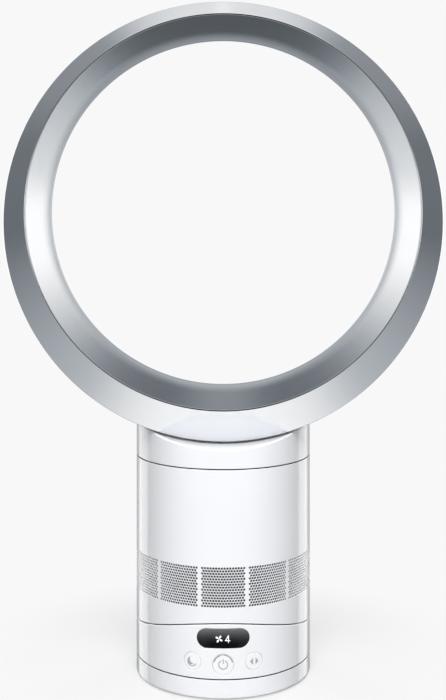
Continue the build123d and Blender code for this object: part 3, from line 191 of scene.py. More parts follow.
class FanStudioSizes(bpy.types.PropertyGroup):
    """Camera and floor."""

    camera_distance: length_property("Camera distance", "Distance from the fan's axis", 1038.0)
    camera_height: length_property("Camera height", "Height of the camera", 380.0)
    floor_radius: length_property("Floor radius", "Radius of the round floor", 450.0)
    lens: bpy.props.FloatProperty(
        name="Lens", description="Focal length on a 36 mm frame", unit="CAMERA", default=63.53
    )
    shift_up: bpy.props.FloatProperty(
        name="Shift up",
        description="Lens shift upwards, as a share of the longer side",
        precision=4,
        default=-0.1931,
    )
    shift_across: bpy.props.FloatProperty(
        name="Shift across",
        description="Lens shift to the right, as a share of the longer side",
        precision=4,
        default=-0.0003,
    )


# ---------------------------------------------------------------- mesh helpers


# Edges that turn by more degrees than this stay sharp, on the ring's shells.
SHELL_SHARP = 30.0


def add_piece(name, points, faces, sharp=35.0):
    """Object of a closed mesh with its normals outwards, smooth but for edges over this angle."""
    mesh = bpy.data.meshes.new(name)
    mesh.from_pydata(points, [], faces)
    grid = bmesh.new()
    grid.from_mesh(mesh)
    bmesh.ops.recalc_face_normals(grid, faces=grid.faces)
    grid.to_mesh(mesh)
    grid.free()
    mesh.shade_smooth()
    mesh.set_sharp_from_angle(angle=radians(sharp))
    piece = bpy.data.objects.new(name, mesh)
    bpy.context.scene.collection.objects.link(piece)
    return piece


def arc_points(middle, radii, first, last, steps):
    """Points of an elliptic arc between two angles in degrees, both ends included."""
    points = []
    for step in range(steps + 1):
        angle = radians(first + (last - first) * step / steps)
        points.append((middle[0] + radii[0] * cos(angle), middle[1] + radii[1] * sin(angle)))
    return points


def round_angles(steps):
    """Angles of this many equal steps round a circle."""
    return [2 * pi * step / steps for step in range(steps)]


def smooth_step(share):
    """Eases from 0 to 1 with level ends."""
    share = min(max(share, 0.0), 1.0)
    return share * share * (3 - 2 * share)


def lowered(angle, radius, drop):
    """Reach from the opening's axis to a circle whose middle lies this far below it."""
    return sqrt(radius**2 - (drop * sin(angle)) ** 2) - drop * cos(angle)


def ring_faces(count, rings, closed=False, first=0):
    """Faces between neighbouring rings of this many points, and back to the first if closed."""
    faces = []
    for ring in range(rings if closed else rings - 1):
        here = first + ring * count
        there = first + (ring + 1) % rings * count
        for index in range(count):
            after = (index + 1) % count
            faces.append((here + index, here + after, there + after, there + index))
    return faces


def ring_shell(name, section, sizes):
    """Shell swept round the opening's axis: section(angle) gives closed points (depth, reach)."""
    points = []
    for angle in round_angles(sizes.steps):
        for depth, reach in section(angle):
            points.append((reach * sin(angle), depth, sizes.axis_height + reach * cos(angle)))
    faces = ring_faces(len(points) // sizes.steps, sizes.steps, closed=True)
    return add_piece(name, points, faces, SHELL_SHARP)


# ---------------------------------------------------------------- ring


def casing_section(sizes):
    """Section of the outer casing: a gentle taper that runs into the roll at the back."""
    front = sizes.corner_depth + sizes.bevel_thickness + sizes.seam
    crown = sizes.corner_radius - sizes.taper - sizes.roll_height
    edge = 0.35 * MM
    taper_steps = 14
    roll_steps = 18

    def wall(inset):
        stations = []
        for step in range(taper_steps + 1):
            share = step / taper_steps
            depth = front + edge + (sizes.roll_start - front - edge) * share
            radius = sizes.corner_radius - inset - sizes.taper * smooth_step(share)
            stations.append((depth, radius, sizes.drop))
        for step in range(1, roll_steps + 1):
            angle = radians(90 * step / roll_steps)
            depth = sizes.roll_start + (sizes.roll_depth - inset) * sin(angle)
            radius = crown + (sizes.roll_height - inset) * cos(angle)
            stations.append((depth, radius, sizes.drop * cos(angle)))
        return stations

    outside = wall(0.0)
    inside = wall(sizes.wall)
    rim = [
        (front, sizes.corner_radius - sizes.wall, sizes.drop),
        (front, sizes.corner_radius - edge, sizes.drop),
        (front + edge * EDGE_MIDDLE, sizes.corner_radius - edge * EDGE_MIDDLE, sizes.drop),
    ]
    stations = rim + outside + inside[:0:-1]

    def section(angle):
        return [(depth, lowered(angle, radius, drop)) for depth, radius, drop in stations]

    return section


def bevel_section(sizes):
    """Section of the front bevel, wider below than above, from the lip's bead to the arris."""
    bead = sizes.lip_bead
    bore = sizes.lip_radius - bead
    back = sizes.corner_depth + sizes.bevel_thickness - sizes.seam / 2
    rise = sizes.corner_depth - sizes.lip_depth
    edge = 0.3 * MM
    bead_end = radians(-28)
    bead_reach = bore - bead * sin(bead_end)
    bead_steps = 10
    arris_steps = 7
    # Points beside the bead and the arris keep their smooth shading off the flat face.
    face_shares = (0.02, 0.3, 0.6, 0.98)

    def section(angle):
        corner = lowered(angle, sizes.corner_radius, sizes.drop)
        run = corner - sizes.lip_radius
        slant = hypot(rise, run)
        along = (rise / slant, run / slant)
        turn = atan2(run, rise)
        cut = sizes.arris * tan(turn / 2)
        face_bearing = atan2(rise, run)
        bead_inset = bead + (bead_reach - sizes.lip_radius) * along[0]
        bead_depth = sizes.lip_depth + bead_inset / along[1]
        points = [(sizes.lip_depth + sizes.bevel_thickness, bore)]
        for step in range(bead_steps + 1):
            bearing = bead_end + (face_bearing - bead_end) * step / bead_steps
            points.append((bead_depth - bead * cos(bearing), bead_reach + bead * sin(bearing)))
        first = points[-1]
        length = slant - cut - hypot(first[0] - sizes.lip_depth, first[1] - sizes.lip_radius)
        for share in face_shares:
            far = length * share
            points.append((first[0] + along[0] * far, first[1] + along[1] * far))
        middle = (sizes.corner_depth + cut, corner - sizes.arris)
        for step in range(arris_steps + 1):
            bearing = turn * (1 - step / arris_steps)
            points.append(
                (middle[0] - sizes.arris * sin(bearing), middle[1] + sizes.arris * cos(bearing))
            )
        points += [(back - edge, corner), (back, corner - edge), (back, corner - 2 * edge)]
        return points

    return section


def nose_bend(sizes):
    """Radius of the round nose behind the throat."""
    return (sizes.nose_run**2 + sizes.nose_rise**2) / (2 * sizes.nose_rise)


def flow_section(sizes):
    """Section of the inner casing: front edge, cone, bend into the throat, round nose."""
    slope = sizes.flow_slope
    length = sizes.throat_depth - sizes.lip_depth
    excess = length * tan(slope) - (sizes.lip_radius - sizes.throat_radius)
    bend = excess * cos(slope) / (1 - cos(slope))
    straight = length - bend * sin(slope)
    nose = nose_bend(sizes)
    half_wall = sizes.wall / 2
    turn = degrees(asin((sizes.nose_run - half_wall) / nose))
    bend_middle = (sizes.throat_depth, sizes.throat_radius + bend)
    nose_middle = (sizes.throat_depth, sizes.throat_radius + nose)
    front = sizes.bevel_thickness + sizes.seam
    edge = 0.25 * MM
    cone = [front + edge, front + 2 * edge] + [share * straight for share in (0.2, 0.5, 0.95)]

    def face(inset):
        """Cone, bend and nose, this far outside the flow surface."""
        line = []
        for along in cone:
            line.append((sizes.lip_depth + along, sizes.lip_radius + inset - along * tan(slope)))
        line += arc_points(bend_middle, (bend - inset,) * 2, 270 - degrees(slope), 270, 8)
        line += arc_points(nose_middle, (nose - inset,) * 2, 270, 270 + turn, 12)[1:]
        return line

    middle = nose - half_wall
    tip = (
        nose_middle[0] + middle * sin(radians(turn)),
        nose_middle[1] - middle * cos(radians(turn)),
    )
    start = sizes.lip_radius - front * tan(slope)
    points = [
        (sizes.lip_depth + front, start + sizes.wall),
        (sizes.lip_depth + front, start + 2 * edge),
        (sizes.lip_depth + front, start + edge),
        (sizes.lip_depth + front + EDGE_MIDDLE * edge, start + EDGE_MIDDLE * edge),
    ]
    points += face(0.0)
    points += arc_points(tip, (half_wall, half_wall), 270 + turn, 450 + turn, 8)[1:-1]
    points += face(sizes.wall)[::-1]
    return lambda angle: points


def trim_section(sizes):
    """Section of the rear trim: an elliptic roll that ends in the slot's thin lip."""
    crown = sizes.corner_radius - sizes.taper - sizes.roll_height - sizes.seam
    nose = nose_bend(sizes)
    edge = sqrt((nose + sizes.slot_gap) ** 2 - (sizes.slot_lip_depth - sizes.throat_depth) ** 2)
    inner = sizes.throat_radius + nose - edge - sizes.slot_lip
    # Depth of the part of the roll that turns in again.
    reach = 8.0 * MM
    middle = (sizes.roll_start + sizes.roll_depth - reach, crown)
    lip = sizes.slot_lip / 2
    points = arc_points((sizes.slot_lip_depth + lip, inner + lip), (lip, lip), 90, 270, 8)
    points += arc_points(middle, (reach, crown - inner), -90, 0, 24)
    inside = (reach - sizes.wall, crown - inner - sizes.wall)
    points += arc_points(middle, inside, 0, -90, 16)
    return lambda angle: points


def cut_duct_hole(casing, sizes):
    """Cuts the oval hole that lets the duct through the bottom of the outer casing."""
    half_width = 52.1 * MM
    half_depth = 36.1 * MM
    spare = 10.0 * MM
    cutter_height = 40.0 * MM
    steps = 96
    low = sizes.axis_height - sizes.drop - sizes.corner_radius - spare
    points = []
    for height in (low, low + cutter_height):
        for angle in round_angles(steps):
            points.append((half_width * cos(angle), half_depth * sin(angle), height))
    ends = [tuple(range(steps)), tuple(range(steps, 2 * steps))]
    cutter = add_piece("duct_cutter", points, ends + ring_faces(steps, 2))
    hole = casing.modifiers.new("duct hole", "BOOLEAN")
    hole.operation = "DIFFERENCE"
    hole.object = cutter
    scene = bpy.context.evaluated_depsgraph_get()
    cut = bpy.data.meshes.new_from_object(casing.evaluated_get(scene))
    casing.modifiers.clear()
    casing.data = cut
    cut.set_sharp_from_angle(angle=radians(SHELL_SHARP))
    bpy.data.objects.remove(cutter)


class FAN_OT_ring_shells(bpy.types.Operator):
    """Add the ring's outer casing, front bevel, inner casing and rear trim"""

    bl_idname = "fan.ring_shells"
    bl_label = "Ring shells"

    def execute(self, context):
        sizes = context.scene.fan_ring
        shells = {
            "outer_casing": ("ring_outer_casing", casing_section),
            "front_bezel": ("ring_front_bevel", bevel_section),
            "inner_casing": ("ring_inner_casing", flow_section),
            "rear_trim": ("ring_rear_trim", trim_section),
        }
        for node, (name, section) in shells.items():
            shell = ring_shell(name, section(sizes), sizes)
            if node == "outer_casing":
                cut_duct_hole(shell, sizes)
            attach(shell, "loop")
            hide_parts(node)
            dress(shell, "ring_silver")
        return {"FINISHED"}


# ---------------------------------------------------------------- air inlet


# Points round a cell of the inlet's mesh: its column and its level, each of three.
CELL_RIM = ((0, 0), (1, 0), (2, 0), (2, 1), (2, 2), (1, 2), (0, 2), (0, 1))


def inlet_mesh(sizes):
    """Points and faces of the perforated band, staggered round holes in panels."""
    panel = 2 * pi * sizes.radius / sizes.panels
    width = panel - sizes.strip
    column = width / sizes.columns
    half = column / 2
    row = (sizes.high - sizes.low - 2 * sizes.margin) / sizes.rows
    margin = sizes.margin
    inner = sizes.radius - sizes.wall
    sides = len(CELL_RIM)
    points = []
    faces = []
    known = {}

    # Points that agree to a micrometre round the band, and to a tenth of one in height, are one.
    around = round(panel * sizes.panels * 1e6)

    def spot(across, height, side):
        """Index of the point at this arc length and height, in front (0) or behind (1)."""
        key = (round(across * 1e6) % around, round(height * 1e7), side)
        if key not in known:
            angle = across / sizes.radius
            radius = inner if side else sizes.radius
            known[key] = len(points)
            points.append((radius * sin(angle), -radius * cos(angle), height))
        return known[key]

    def plate(corners):
        """The same face in front and behind."""
        faces.append([spot(across, height, 0) for across, height in corners])
        faces.append([spot(across, height, 1) for across, height in reversed(corners)])

    def holed(left, low):
        """A cell whose hole has a side for each point of its rim."""
        columns = (left, left + half, left + column)
        levels = (low, low + row / 2, low + row)
        rim = [(columns[place], levels[level]) for place, level in CELL_RIM]
        hole = []
        for index in range(sides):
            angle = 2 * pi * (index / sides - 3 / 8)
            across = left + half + sizes.hole / 2 * cos(angle)
            hole.append((across, low + row / 2 + sizes.hole / 2 * sin(angle)))
        for index in range(sides):
            after = (index + 1) % sides
            plate([rim[index], rim[after], hole[after], hole[index]])
            wall = [(*hole[index], 0), (*hole[after], 0), (*hole[after], 1), (*hole[index], 1)]
            faces.append([spot(*corner) for corner in wall])

    rows = [sizes.low + margin + index * row for index in range(sizes.rows + 1)]
    # Heights of the points on a panel's edge: full rows have a point at their middle too.
    marks = sorted(rows + [low + row / 2 for low in rows[:-1:2]])
    for number in range(sizes.panels):
        left = number * panel - width / 2
        right = left + width
        for index, low in enumerate(rows[:-1]):
            staggered = index % 2
            for place in range(sizes.columns - staggered):
                holed(left + staggered * half + place * column, low)
            if staggered:
                for edge, inside in ((left, left + half), (right, right - half)):
                    line = [(inside, low), (inside, low + row / 2), (inside, low + row)]
                    plate([(edge, low), *line, (edge, low + row)])
        after = right + sizes.strip
        for low, high in zip(marks, marks[1:]):
            plate([(right, low), (after, low), (after, high), (right, high)])
        stops = [left + place * column / 2 for place in range(2 * sizes.columns + 1)]
        stops.append(left + panel)
        for start, end in zip(stops, stops[1:]):
            for low, high in ((sizes.low, sizes.low + margin), (sizes.high - margin, sizes.high)):
                plate([(start, low), (end, low), (end, high), (start, high)])
            for height in (sizes.low, sizes.high):
                rim = [(start, height, 0), (end, height, 0), (end, height, 1), (start, height, 1)]
                faces.append([spot(*corner) for corner in rim])
    return points, faces


def tube_piece(name, corners, steps=192):
    """Ring about the body's axis with this section of (radius, height)."""
    points = []
    for angle in round_angles(steps):
        points += [(out * sin(angle), -out * cos(angle), height) for out, height in corners]
    return add_piece(name, points, ring_faces(len(corners), steps, closed=True))


class FAN_OT_air_inlet(bpy.types.Operator):
    """Add the perforated band that the fan draws its air through"""

    bl_idname = "fan.air_inlet"
    bl_label = "Air inlet"

    def execute(self, context):
        sizes = context.scene.fan_inlet
        gap = 0.02 * MM
        inset = 0.1 * MM
        points, faces = inlet_mesh(sizes)
        band = add_piece("air_inlet_band", points, faces)
        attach(band, "main_body")
        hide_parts("inlet_grille")
        dress(band, "body_white")
        outer = sizes.radius - sizes.wall - gap
        inner = outer - sizes.liner
        low = sizes.low + inset
        high = sizes.high - inset
        section = [(inner, low), (outer, low), (outer, high), (inner, high)]
        liner = tube_piece("air_inlet_filter", section)
        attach(liner, "main_body")
        dress(liner, "filter_cloth")
        return {"FINISHED"}


# ---------------------------------------------------------------- window, caps and marks


def on_face(across, height, angle, radius):
    """Point of the round front, from a flat drawing laid on it at this angle."""
    out = sqrt(radius**2 - across**2)
    return (
        out * sin(angle) + across * cos(angle),
        -out * cos(angle) + across * sin(angle),
        height,
    )


def mirrored(upper):
    """Closed outline from its upper half, left to right: point n is below point -n."""
    return upper + [(across, -up) for across, up in upper[-2:0:-1]]


def pill_outline(half_width, half_height, steps=12):
    """Outline of a pill about the origin: (across, up)."""
    bend = half_width - half_height
    upper = arc_points((-bend, 0.0), (half_height, half_height), 180, 90, steps)
    upper += [(bend * (2 * step / steps - 1), half_height) for step in range(1, steps)]
    upper += arc_points((bend, 0.0), (half_height, half_height), 90, 0, steps)
    return mirrored(upper)


# Points of a quarter-round edge between its ends, as shares of its radius: inset and drop.
WINDOW_ROUND = ((0.5, 0.13), (0.13, 0.5))
CAP_ROUND = ((0.6, 0.08), (0.3, 0.29), (0.08, 0.6))


def rounded_edge(edge, face, shares):
    """Stations (inset, radius) of a quarter-round edge of this radius, from the face outwards."""
    return [
        (inset * edge, face - drop * edge) for inset, drop in ((1.0, 0.0), *shares, (0.0, 1.0))
    ]


def round_outline(radius, steps=36):
    """Outline function of a round cap: a circle, drawn in by the inset."""
    return lambda inset: mirrored(arc_points((0.0, 0.0), (radius - inset,) * 2, 180, 0, steps))


def cap_piece(name, outline_of, stations, angle, middle):
    """Closed cap over stations (inset, radius), from its face over its edge to its back."""
    points = []
    for inset, radius in stations:
        outline = outline_of(inset)
        points += [on_face(across, middle + up, angle, radius) for across, up in outline]
    count = len(points) // len(stations)
    faces = ring_faces(count, len(stations))
    half = count // 2
    for first in (0, len(points) - count):
        ring = range(first, first + count)
        faces.append((ring[0], ring[1], ring[-1]))
        for index in range(1, half - 1):
            faces.append((ring[index], ring[index + 1], ring[-index - 1], ring[-index]))
        faces.append((ring[half - 1], ring[half], ring[half + 1]))
    return add_piece(name, points, faces)


def printed(name, shapes, angle, middle, sizes):
    """Thin print of flat shapes, each a closed outline (across, up), laid on the round front."""
    points = []
    faces = []
    for shape in shapes:
        count = len(shape)
        for radius in (sizes.radius - sizes.print_depth, sizes.radius + sizes.print_depth):
            for across, up in shape:
                points.append(on_face(across * MM, middle + up * MM, angle, radius))
        low = len(points) - 2 * count
        faces.append(tuple(range(low, low + count)))
        faces.append(tuple(range(low + count, low + 2 * count)))
        faces += ring_faces(count, 2, first=low)
    return add_piece(name, points, faces)


def band_outline(radius, width, first, last, steps=28):
    """Outline of part of a ring between two angles, in millimetres."""
    outer = arc_points((0, 0), (radius + width / 2,) * 2, first, last, steps)
    inner = arc_points((0, 0), (radius - width / 2,) * 2, last, first, steps)
    return outer + inner


def crescent_outline(radius=4.0, bite=3.6, shift=2.4):
    """A moon open to the upper right: a circle less another that is moved that way."""
    along = (shift**2 + radius**2 - bite**2) / (2 * shift)
    outer_half = degrees(acos(along / radius))
    bite_half = degrees(acos((along - shift) / bite))
    middle = shift / sqrt(2)
    outer = arc_points((0.0, 0.0), (radius, radius), 45 + outer_half, 405 - outer_half, 36)
    inner = arc_points((middle, middle), (bite, bite), 405 - bite_half, 45 + bite_half, 30)
    return outer + inner[1:-1]


def blade_outline(bearing, scale=0.86, across=-3.3):
    """One blade of the small fan mark, in millimetres, turned to this bearing in degrees."""
    edge = [(0.25, 0.1), (0.5, 1.3), (1.15, 2.35), (2.2, 2.75)]
    edge += [(2.75, 2.1), (2.45, 1.1), (1.4, 0.45)]
    turn = radians(bearing)
    return [
        (scale * (x * cos(turn) - y * sin(turn)) + across, scale * (x * sin(turn) + y * cos(turn)))
        for x, y in edge
    ]


def strip_outline(points, width):
    """Outline of a stroke of this width along an open run of points."""
    left = []
    right = []
    for index, (x, y) in enumerate(points):
        before = points[max(index - 1, 0)]
        after = points[min(index + 1, len(points) - 1)]
        run = hypot(after[0] - before[0], after[1] - before[1])
        across = (-(after[1] - before[1]) / run, (after[0] - before[0]) / run)
        left.append((x + across[0] * width / 2, y + across[1] * width / 2))
        right.append((x - across[0] * width / 2, y - across[1] * width / 2))
    return left + right[::-1]


class FAN_OT_seam_shade_rings(bpy.types.Operator):
    """Add the dark felt rings in the seams at both ends of the body: painted shade for the gaps"""

    bl_idname = "fan.seam_seals"
    bl_label = "Seam seals"

    def execute(self, context):
        # Half the height of a ring where it lies in the seam, and at the seam's flared mouth.
        half = 0.37 * MM
        mouth = 0.46 * MM
        inner, outer, rim = 70.6 * MM, 72.12 * MM, 72.33 * MM
        stand_seam = 16.5 * MM
        loop_seam = 180.7 * MM
        # The dark rings are painted shade: they stand in for the shade inside the seam gaps.
        for name, body, middle in (
            ("stand_seam_painted_shade", "stand", stand_seam),
            ("loop_seam_painted_shade", "main_body", loop_seam),
        ):
            upper = [(rim, middle + mouth), (outer, middle + half), (inner, middle + half)]
            lower = [(inner, middle - half), (outer, middle - half), (rim, middle - mouth)]
            seal = tube_piece(name, upper + lower)
            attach(seal, body)
            dress(seal, "felt")
        return {"FINISHED"}


class FAN_OT_display(bpy.types.Operator):
    """Add the tinted window with its lit fan mark and digit"""

    bl_idname = "fan.display"
    bl_label = "Display window"

    def execute(self, context):
        sizes = context.scene.fan_control
        face = sizes.radius
        half_width = sizes.window_width / 2
        half_height = sizes.window_height / 2
        edge = 0.5 * MM
        stations = [
            (2 * edge, face),
            *rounded_edge(edge, face, WINDOW_ROUND),
            (0.0, face - sizes.window_wall),
        ]
        window = cap_piece(
            "display_window_lens",
            lambda inset: pill_outline(half_width - inset, half_height - inset),
            stations,
            0.0,
            sizes.window_middle,
        )
        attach(window, "control_base")
        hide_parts("display_window")
        dress(window, "display_black")

        mark_drop = 0.2 * MM
        fan = [blade_outline(bearing) for bearing in (15, 105, 195, 285)]
        slope = strip_outline([(1.9, -1.0), (4.15, 2.6)], 0.62)
        bar = [(1.4, -1.6), (5.5, -1.6), (5.5, -1.0), (1.4, -1.0)]
        stem = [(3.8, -2.9), (4.45, -2.9), (4.45, 2.9), (3.8, 2.9)]
        for name, shapes in (("display_fan_mark", fan), ("display_digit", [slope, bar, stem])):
            mark = printed(name, shapes, 0.0, sizes.window_middle - mark_drop, sizes)
            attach(mark, "control_base")
            dress(mark, "lit_mark")
        return {"FINISHED"}


class FAN_OT_buttons(bpy.types.Operator):
    """Add the three button caps with their printed marks, and the arc of painted shade over the
    middle one
    """

    bl_idname = "fan.buttons"
    bl_label = "Buttons"

    def execute(self, context):
        sizes = context.scene.fan_control
        face = sizes.radius
        edge = 0.45 * MM
        # A cap's flange lies behind the shell, between these radii, clear of the rubber dome.
        flange_high = 69.6 * MM
        flange_low = 67.6 * MM
        bar = [(-0.42, 0.6), (0.42, 0.6), (0.42, 4.3), (-0.42, 4.3)]
        power = [band_outline(3.45, 0.85, 118, 422), bar]
        # The darker arc over the power button is painted shade: it stands in for the shade along
        # the upper rim of the button's recess.
        shade_arc_lift = 0.3 * MM
        shade_arc_shapes = [band_outline(7.35, 0.95, 12, 168)]
        arrows = [
            [(-1.0, -2.8), (-1.0, 2.8), (-3.7, 0.0)],
            [(1.0, -2.8), (3.7, 0.0), (1.0, 2.8)],
        ]
        side = (sizes.side_middle, sizes.side_radius)
        caps = (
            ("sleep", "sleep_button", -sizes.side_angle, *side, [crescent_outline()]),
            ("power", "power_button", 0.0, sizes.power_middle, sizes.power_radius, power),
            ("sweep", "sweep_button", sizes.side_angle, *side, arrows),
        )
        for key, node, angle, middle, radius, shapes in caps:
            stations = [
                (2 * edge, face),
                *rounded_edge(edge, face, CAP_ROUND),
                (0.0, flange_high),
                (-sizes.flange, flange_high),
                (-sizes.flange, flange_low),
            ]
            cap = cap_piece(key + "_cap", round_outline(radius), stations, angle, middle)
            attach(cap, key + "_key")
            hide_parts(node)
            dress(cap, "button_white")
            mark = printed(key + "_mark", shapes, angle, middle, sizes)
            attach(mark, key + "_key")
            dress(mark, "grey_print")
            if key == "power":
                arc = printed("power_painted_shade_arc", shade_arc_shapes, angle, middle + shade_arc_lift, sizes)
                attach(arc, key + "_key")
                dress(arc, "dark_print")
        return {"FINISHED"}


# ---------------------------------------------------------------- finishes


NOISE = "ShaderNodeTexNoise"
CELLS = "ShaderNodeTexVoronoi"
WAVES = "ShaderNodeTexWave"
RANGE = "ShaderNodeMapRange"
SUMS = "ShaderNodeMath"
MIX = "ShaderNodeMix"
# Sockets of a colour mix: its two colours, and its result.
MIX_LOW, MIX_HIGH, MIX_RESULT = 6, 7, 2
COLOURS = {"data_type": "RGBA"}
# Most of a noise pattern lies within the first range; other patterns fill the second.
MOST = (0.3, 0.7)
WHOLE = (0.0, 1.0)
# The bands of a wave pattern lie this far apart at a scale of 1.
BAND = 0.31


def add_node(tree, kind, settings=None, inputs=None):
    """Adds a node, sets its own settings, and sets or links its inputs."""
    node = tree.nodes.new(kind)
    for name, value in (settings or {}).items():
        setattr(node, name, value)
    for name, value in (inputs or {}).items():
        socket = node.inputs[name]
        if isinstance(value, bpy.types.NodeSocket):
            tree.links.new(value, socket)
        else:
            socket.default_value = value
    return node


def darker(colour, share):
    """The same colour with less light in it."""
    return (*(channel * share for channel in colour[:3]), 1.0)


def empty_tree(holder):
    """Node tree of a new material or world, with nothing in it yet."""
    holder.use_nodes = True
    holder.node_tree.nodes.clear()
    return holder.node_tree


def layered_finish(name, patterns, colour, tone, roughness, relief, glow=0.0, **constants):
    """Material whose colour, roughness and relief each follow a pattern.

    patterns: rows key: (node, settings, inputs, output), where an input that is text names an
    earlier row, or key: the size of a plain noise's features. The patterns lie on the piece in
    millimetres, so a scale of 1 / 6.0 has features of 6 mm.
    colour: the colours where the tone is 0 and 1. tone and roughness: (key, start, end, low, high).
    relief: (key, height in millimetres), the broadest first.
    """
    material = bpy.data.materials.new(name)
    tree = empty_tree(material)
    place = add_node(tree, "ShaderNodeTexCoord").outputs["Object"]
    scale = {"Vector": place, "Scale": 1 / MM}
    place = add_node(tree, "ShaderNodeVectorMath", {"operation": "SCALE"}, scale).outputs["Vector"]
    made = {"place": place}
    for key, row in patterns.items():
        if isinstance(row, float):
            row = (NOISE, {}, {"Scale": 1 / row}, "Fac")
        kind, settings, inputs, output = row
        linked = {}
        for socket, value in inputs.items():
            linked[socket] = made[value] if isinstance(value, str) else value
        if kind in (NOISE, CELLS, WAVES):
            linked["Vector"] = place
        made[key] = add_node(tree, kind, settings, linked).outputs[output]
    mapped = []
    for key, start, end, low, high in (tone, roughness):
        span = {"From Min": start, "From Max": end, "To Min": low, "To Max": high}
        values = {"Value": made[key], **span}
        mapped.append(add_node(tree, RANGE, None, values).outputs["Result"])
    colours = {"Factor": mapped[0], MIX_LOW: colour[0], MIX_HIGH: colour[1]}
    mixed = add_node(tree, MIX, COLOURS, colours).outputs[MIX_RESULT]
    shader = {"Base Color": mixed, "Roughness": mapped[1], **constants}
    for key, height in relief:
        bump = {"Height": made[key], "Strength": 1.0, "Distance": height * MM}
        if "Normal" in shader:
            bump["Normal"] = shader["Normal"]
        shader["Normal"] = add_node(tree, "ShaderNodeBump", None, bump).outputs["Normal"]
    if glow:
        shader.update({"Emission Color": mixed, "Emission Strength": glow})
    surface = add_node(tree, "ShaderNodeBsdfPrincipled", None, shader).outputs["BSDF"]
    add_node(tree, "ShaderNodeOutputMaterial", None, {"Surface": surface})
    return material


def gloss_abs(colours):
    """Gloss white ABS, injection-moulded in a polished tool.

    Clean white with a soft shine; the plastic's flow leaves slow waves that bend reflections.
    """
    return layered_finish(
        "gloss_white_abs_moulded",
        {
            "flow": 45.0,
            "polish": 6.0,
            "waves": (NOISE, {}, {"Scale": 1 / 22.0, "Detail": 1.0}, "Fac"),
            "skin": 0.9,
        },
        colour=(colours.casing, darker(colours.casing, 0.975)),
        tone=("flow", *MOST, *WHOLE),
        roughness=("polish", *MOST, 0.1, 0.14),
        relief=(("waves", 0.012), ("skin", 0.0006)),
        IOR=1.53,
    )


def cap_abs(colours):
    """White ABS, injection-moulded in a finely blasted tool: a touch duller than the casings."""
    return layered_finish(
        "satin_white_abs_moulded",
        {"flow": 12.0, "polish": 1.5, "skin": 0.5},
        colour=(colours.cap, darker(colours.cap, 0.97)),
        tone=("flow", *MOST, *WHOLE),
        roughness=("polish", *MOST, 0.26, 0.34),
        relief=(("skin", 0.002),),
        IOR=1.53,
    )


def silver_lacquer(colours):
    """Silver metallic lacquer, sprayed over moulded ABS.

    Aluminium flakes give a satin metal shine with a fine sparkle.
    The flakes are drawn at 0.35 mm, ten times their real size, so that they show.
    """
    return layered_finish(
        "silver_metallic_lacquer_sprayed",
        {
            "flakes": (CELLS, {"feature": "F1"}, {"Scale": 1 / 0.35}, "Color"),
            "glint": ("ShaderNodeSeparateColor", {}, {"Color": "flakes"}, "Red"),
            "polish": 9.0,
            "cloud": (NOISE, {}, {"Scale": 1 / 30.0, "Detail": 1.0}, "Fac"),
            "skin": 1.4,
        },
        colour=(colours.ring, darker(colours.ring, 0.955)),
        tone=("glint", *WHOLE, *WHOLE),
        roughness=("polish", *MOST, 0.15, 0.19),
        relief=(("cloud", 0.01), ("skin", 0.0006)),
        Metallic=1.0,
    )


def tinted_acrylic(colours):
    """Smoked acrylic, polished, near black, with a painted highlight: grey along the top, fading to
    near black below.
    """
    # The painted highlight fades in between these heights on the window, and its edge waves by up
    # to 1.6 mm.
    heights = {"Value": "edge", "From Min": 44.0, "From Max": 57.5}
    wavy = {0: "ripple", 1: 1.6, 2: "height"}
    return layered_finish(
        "smoked_acrylic_polished",
        {
            "height": ("ShaderNodeSeparateXYZ", {}, {"Vector": "place"}, "Z"),
            "ripple": 10.0,
            "edge": (SUMS, {"operation": "MULTIPLY_ADD"}, wavy, "Value"),
            "fade": (RANGE, {}, heights, "Result"),
            "tint": (SUMS, {"operation": "POWER"}, {0: "fade", 1: 2.2}, "Value"),
            "polish": 3.0,
            "skin": (NOISE, {}, {"Scale": 1 / 8.0, "Detail": 1.0}, "Fac"),
        },
        colour=(colours.window, colours.painted_highlight),
        tone=("tint", *WHOLE, *WHOLE),
        roughness=("polish", *MOST, 0.05, 0.09),
        relief=(("skin", 0.003),),
        IOR=1.49,
    )


def filter_cloth(colours):
    """Grey nylon filter cloth, woven: a square mesh whose threads catch a little light.

    The threads are drawn 0.5 mm apart, about three times their real spacing, so that they show.
    """
    threads = {"Scale": BAND / 0.5, "Distortion": 0.2}
    return layered_finish(
        "nylon_filter_cloth_woven",
        {
            "warp": (WAVES, {"bands_direction": "X"}, threads, "Fac"),
            "weft": (WAVES, {"bands_direction": "Z"}, threads, "Fac"),
            "weave": (SUMS, {"operation": "MAXIMUM"}, {0: "warp", 1: "weft"}, "Value"),
        },
        colour=(darker(colours.inner, 0.25), darker(colours.inner, 0.7)),
        tone=("weave", *WHOLE, *WHOLE),
        roughness=("weave", *WHOLE, 0.8, 0.6),
        relief=(("weave", 0.08),),
        IOR=1.53,
    )


def wool_felt(colours):
    """Black wool felt, pressed: matt, with stray fibres that break up its surface. Here it is
    painted shade in the seams.
    """
    return layered_finish(
        "wool_felt_seam_shade",
        {"fibres": (NOISE, {}, {"Scale": 1 / 0.25, "Detail": 6.0, "Roughness": 0.7}, "Fac")},
        colour=(darker(colours.rubber, 0.7), colours.rubber),
        tone=("fibres", *MOST, *WHOLE),
        roughness=("fibres", *MOST, 0.85, 0.98),
        relief=(("fibres", 0.06),),
        IOR=1.5,
    )


def printed_ink(name, colour, glow=0.0):
    """Ink printed with a soft pad, or the face of a light guide, which glows: flat and even.

    A slightly rough skin, from the pad or from the mould, keeps it duller than what is round it.
    """
    return layered_finish(
        name,
        {"cover": 0.5, "polish": 0.4, "skin": 0.3},
        colour=(colour, darker(colour, 0.92)),
        tone=("cover", *MOST, *WHOLE),
        roughness=("polish", *MOST, 0.42, 0.55),
        relief=(("skin", 0.002),),
        glow=glow,
        IOR=1.5,
    )


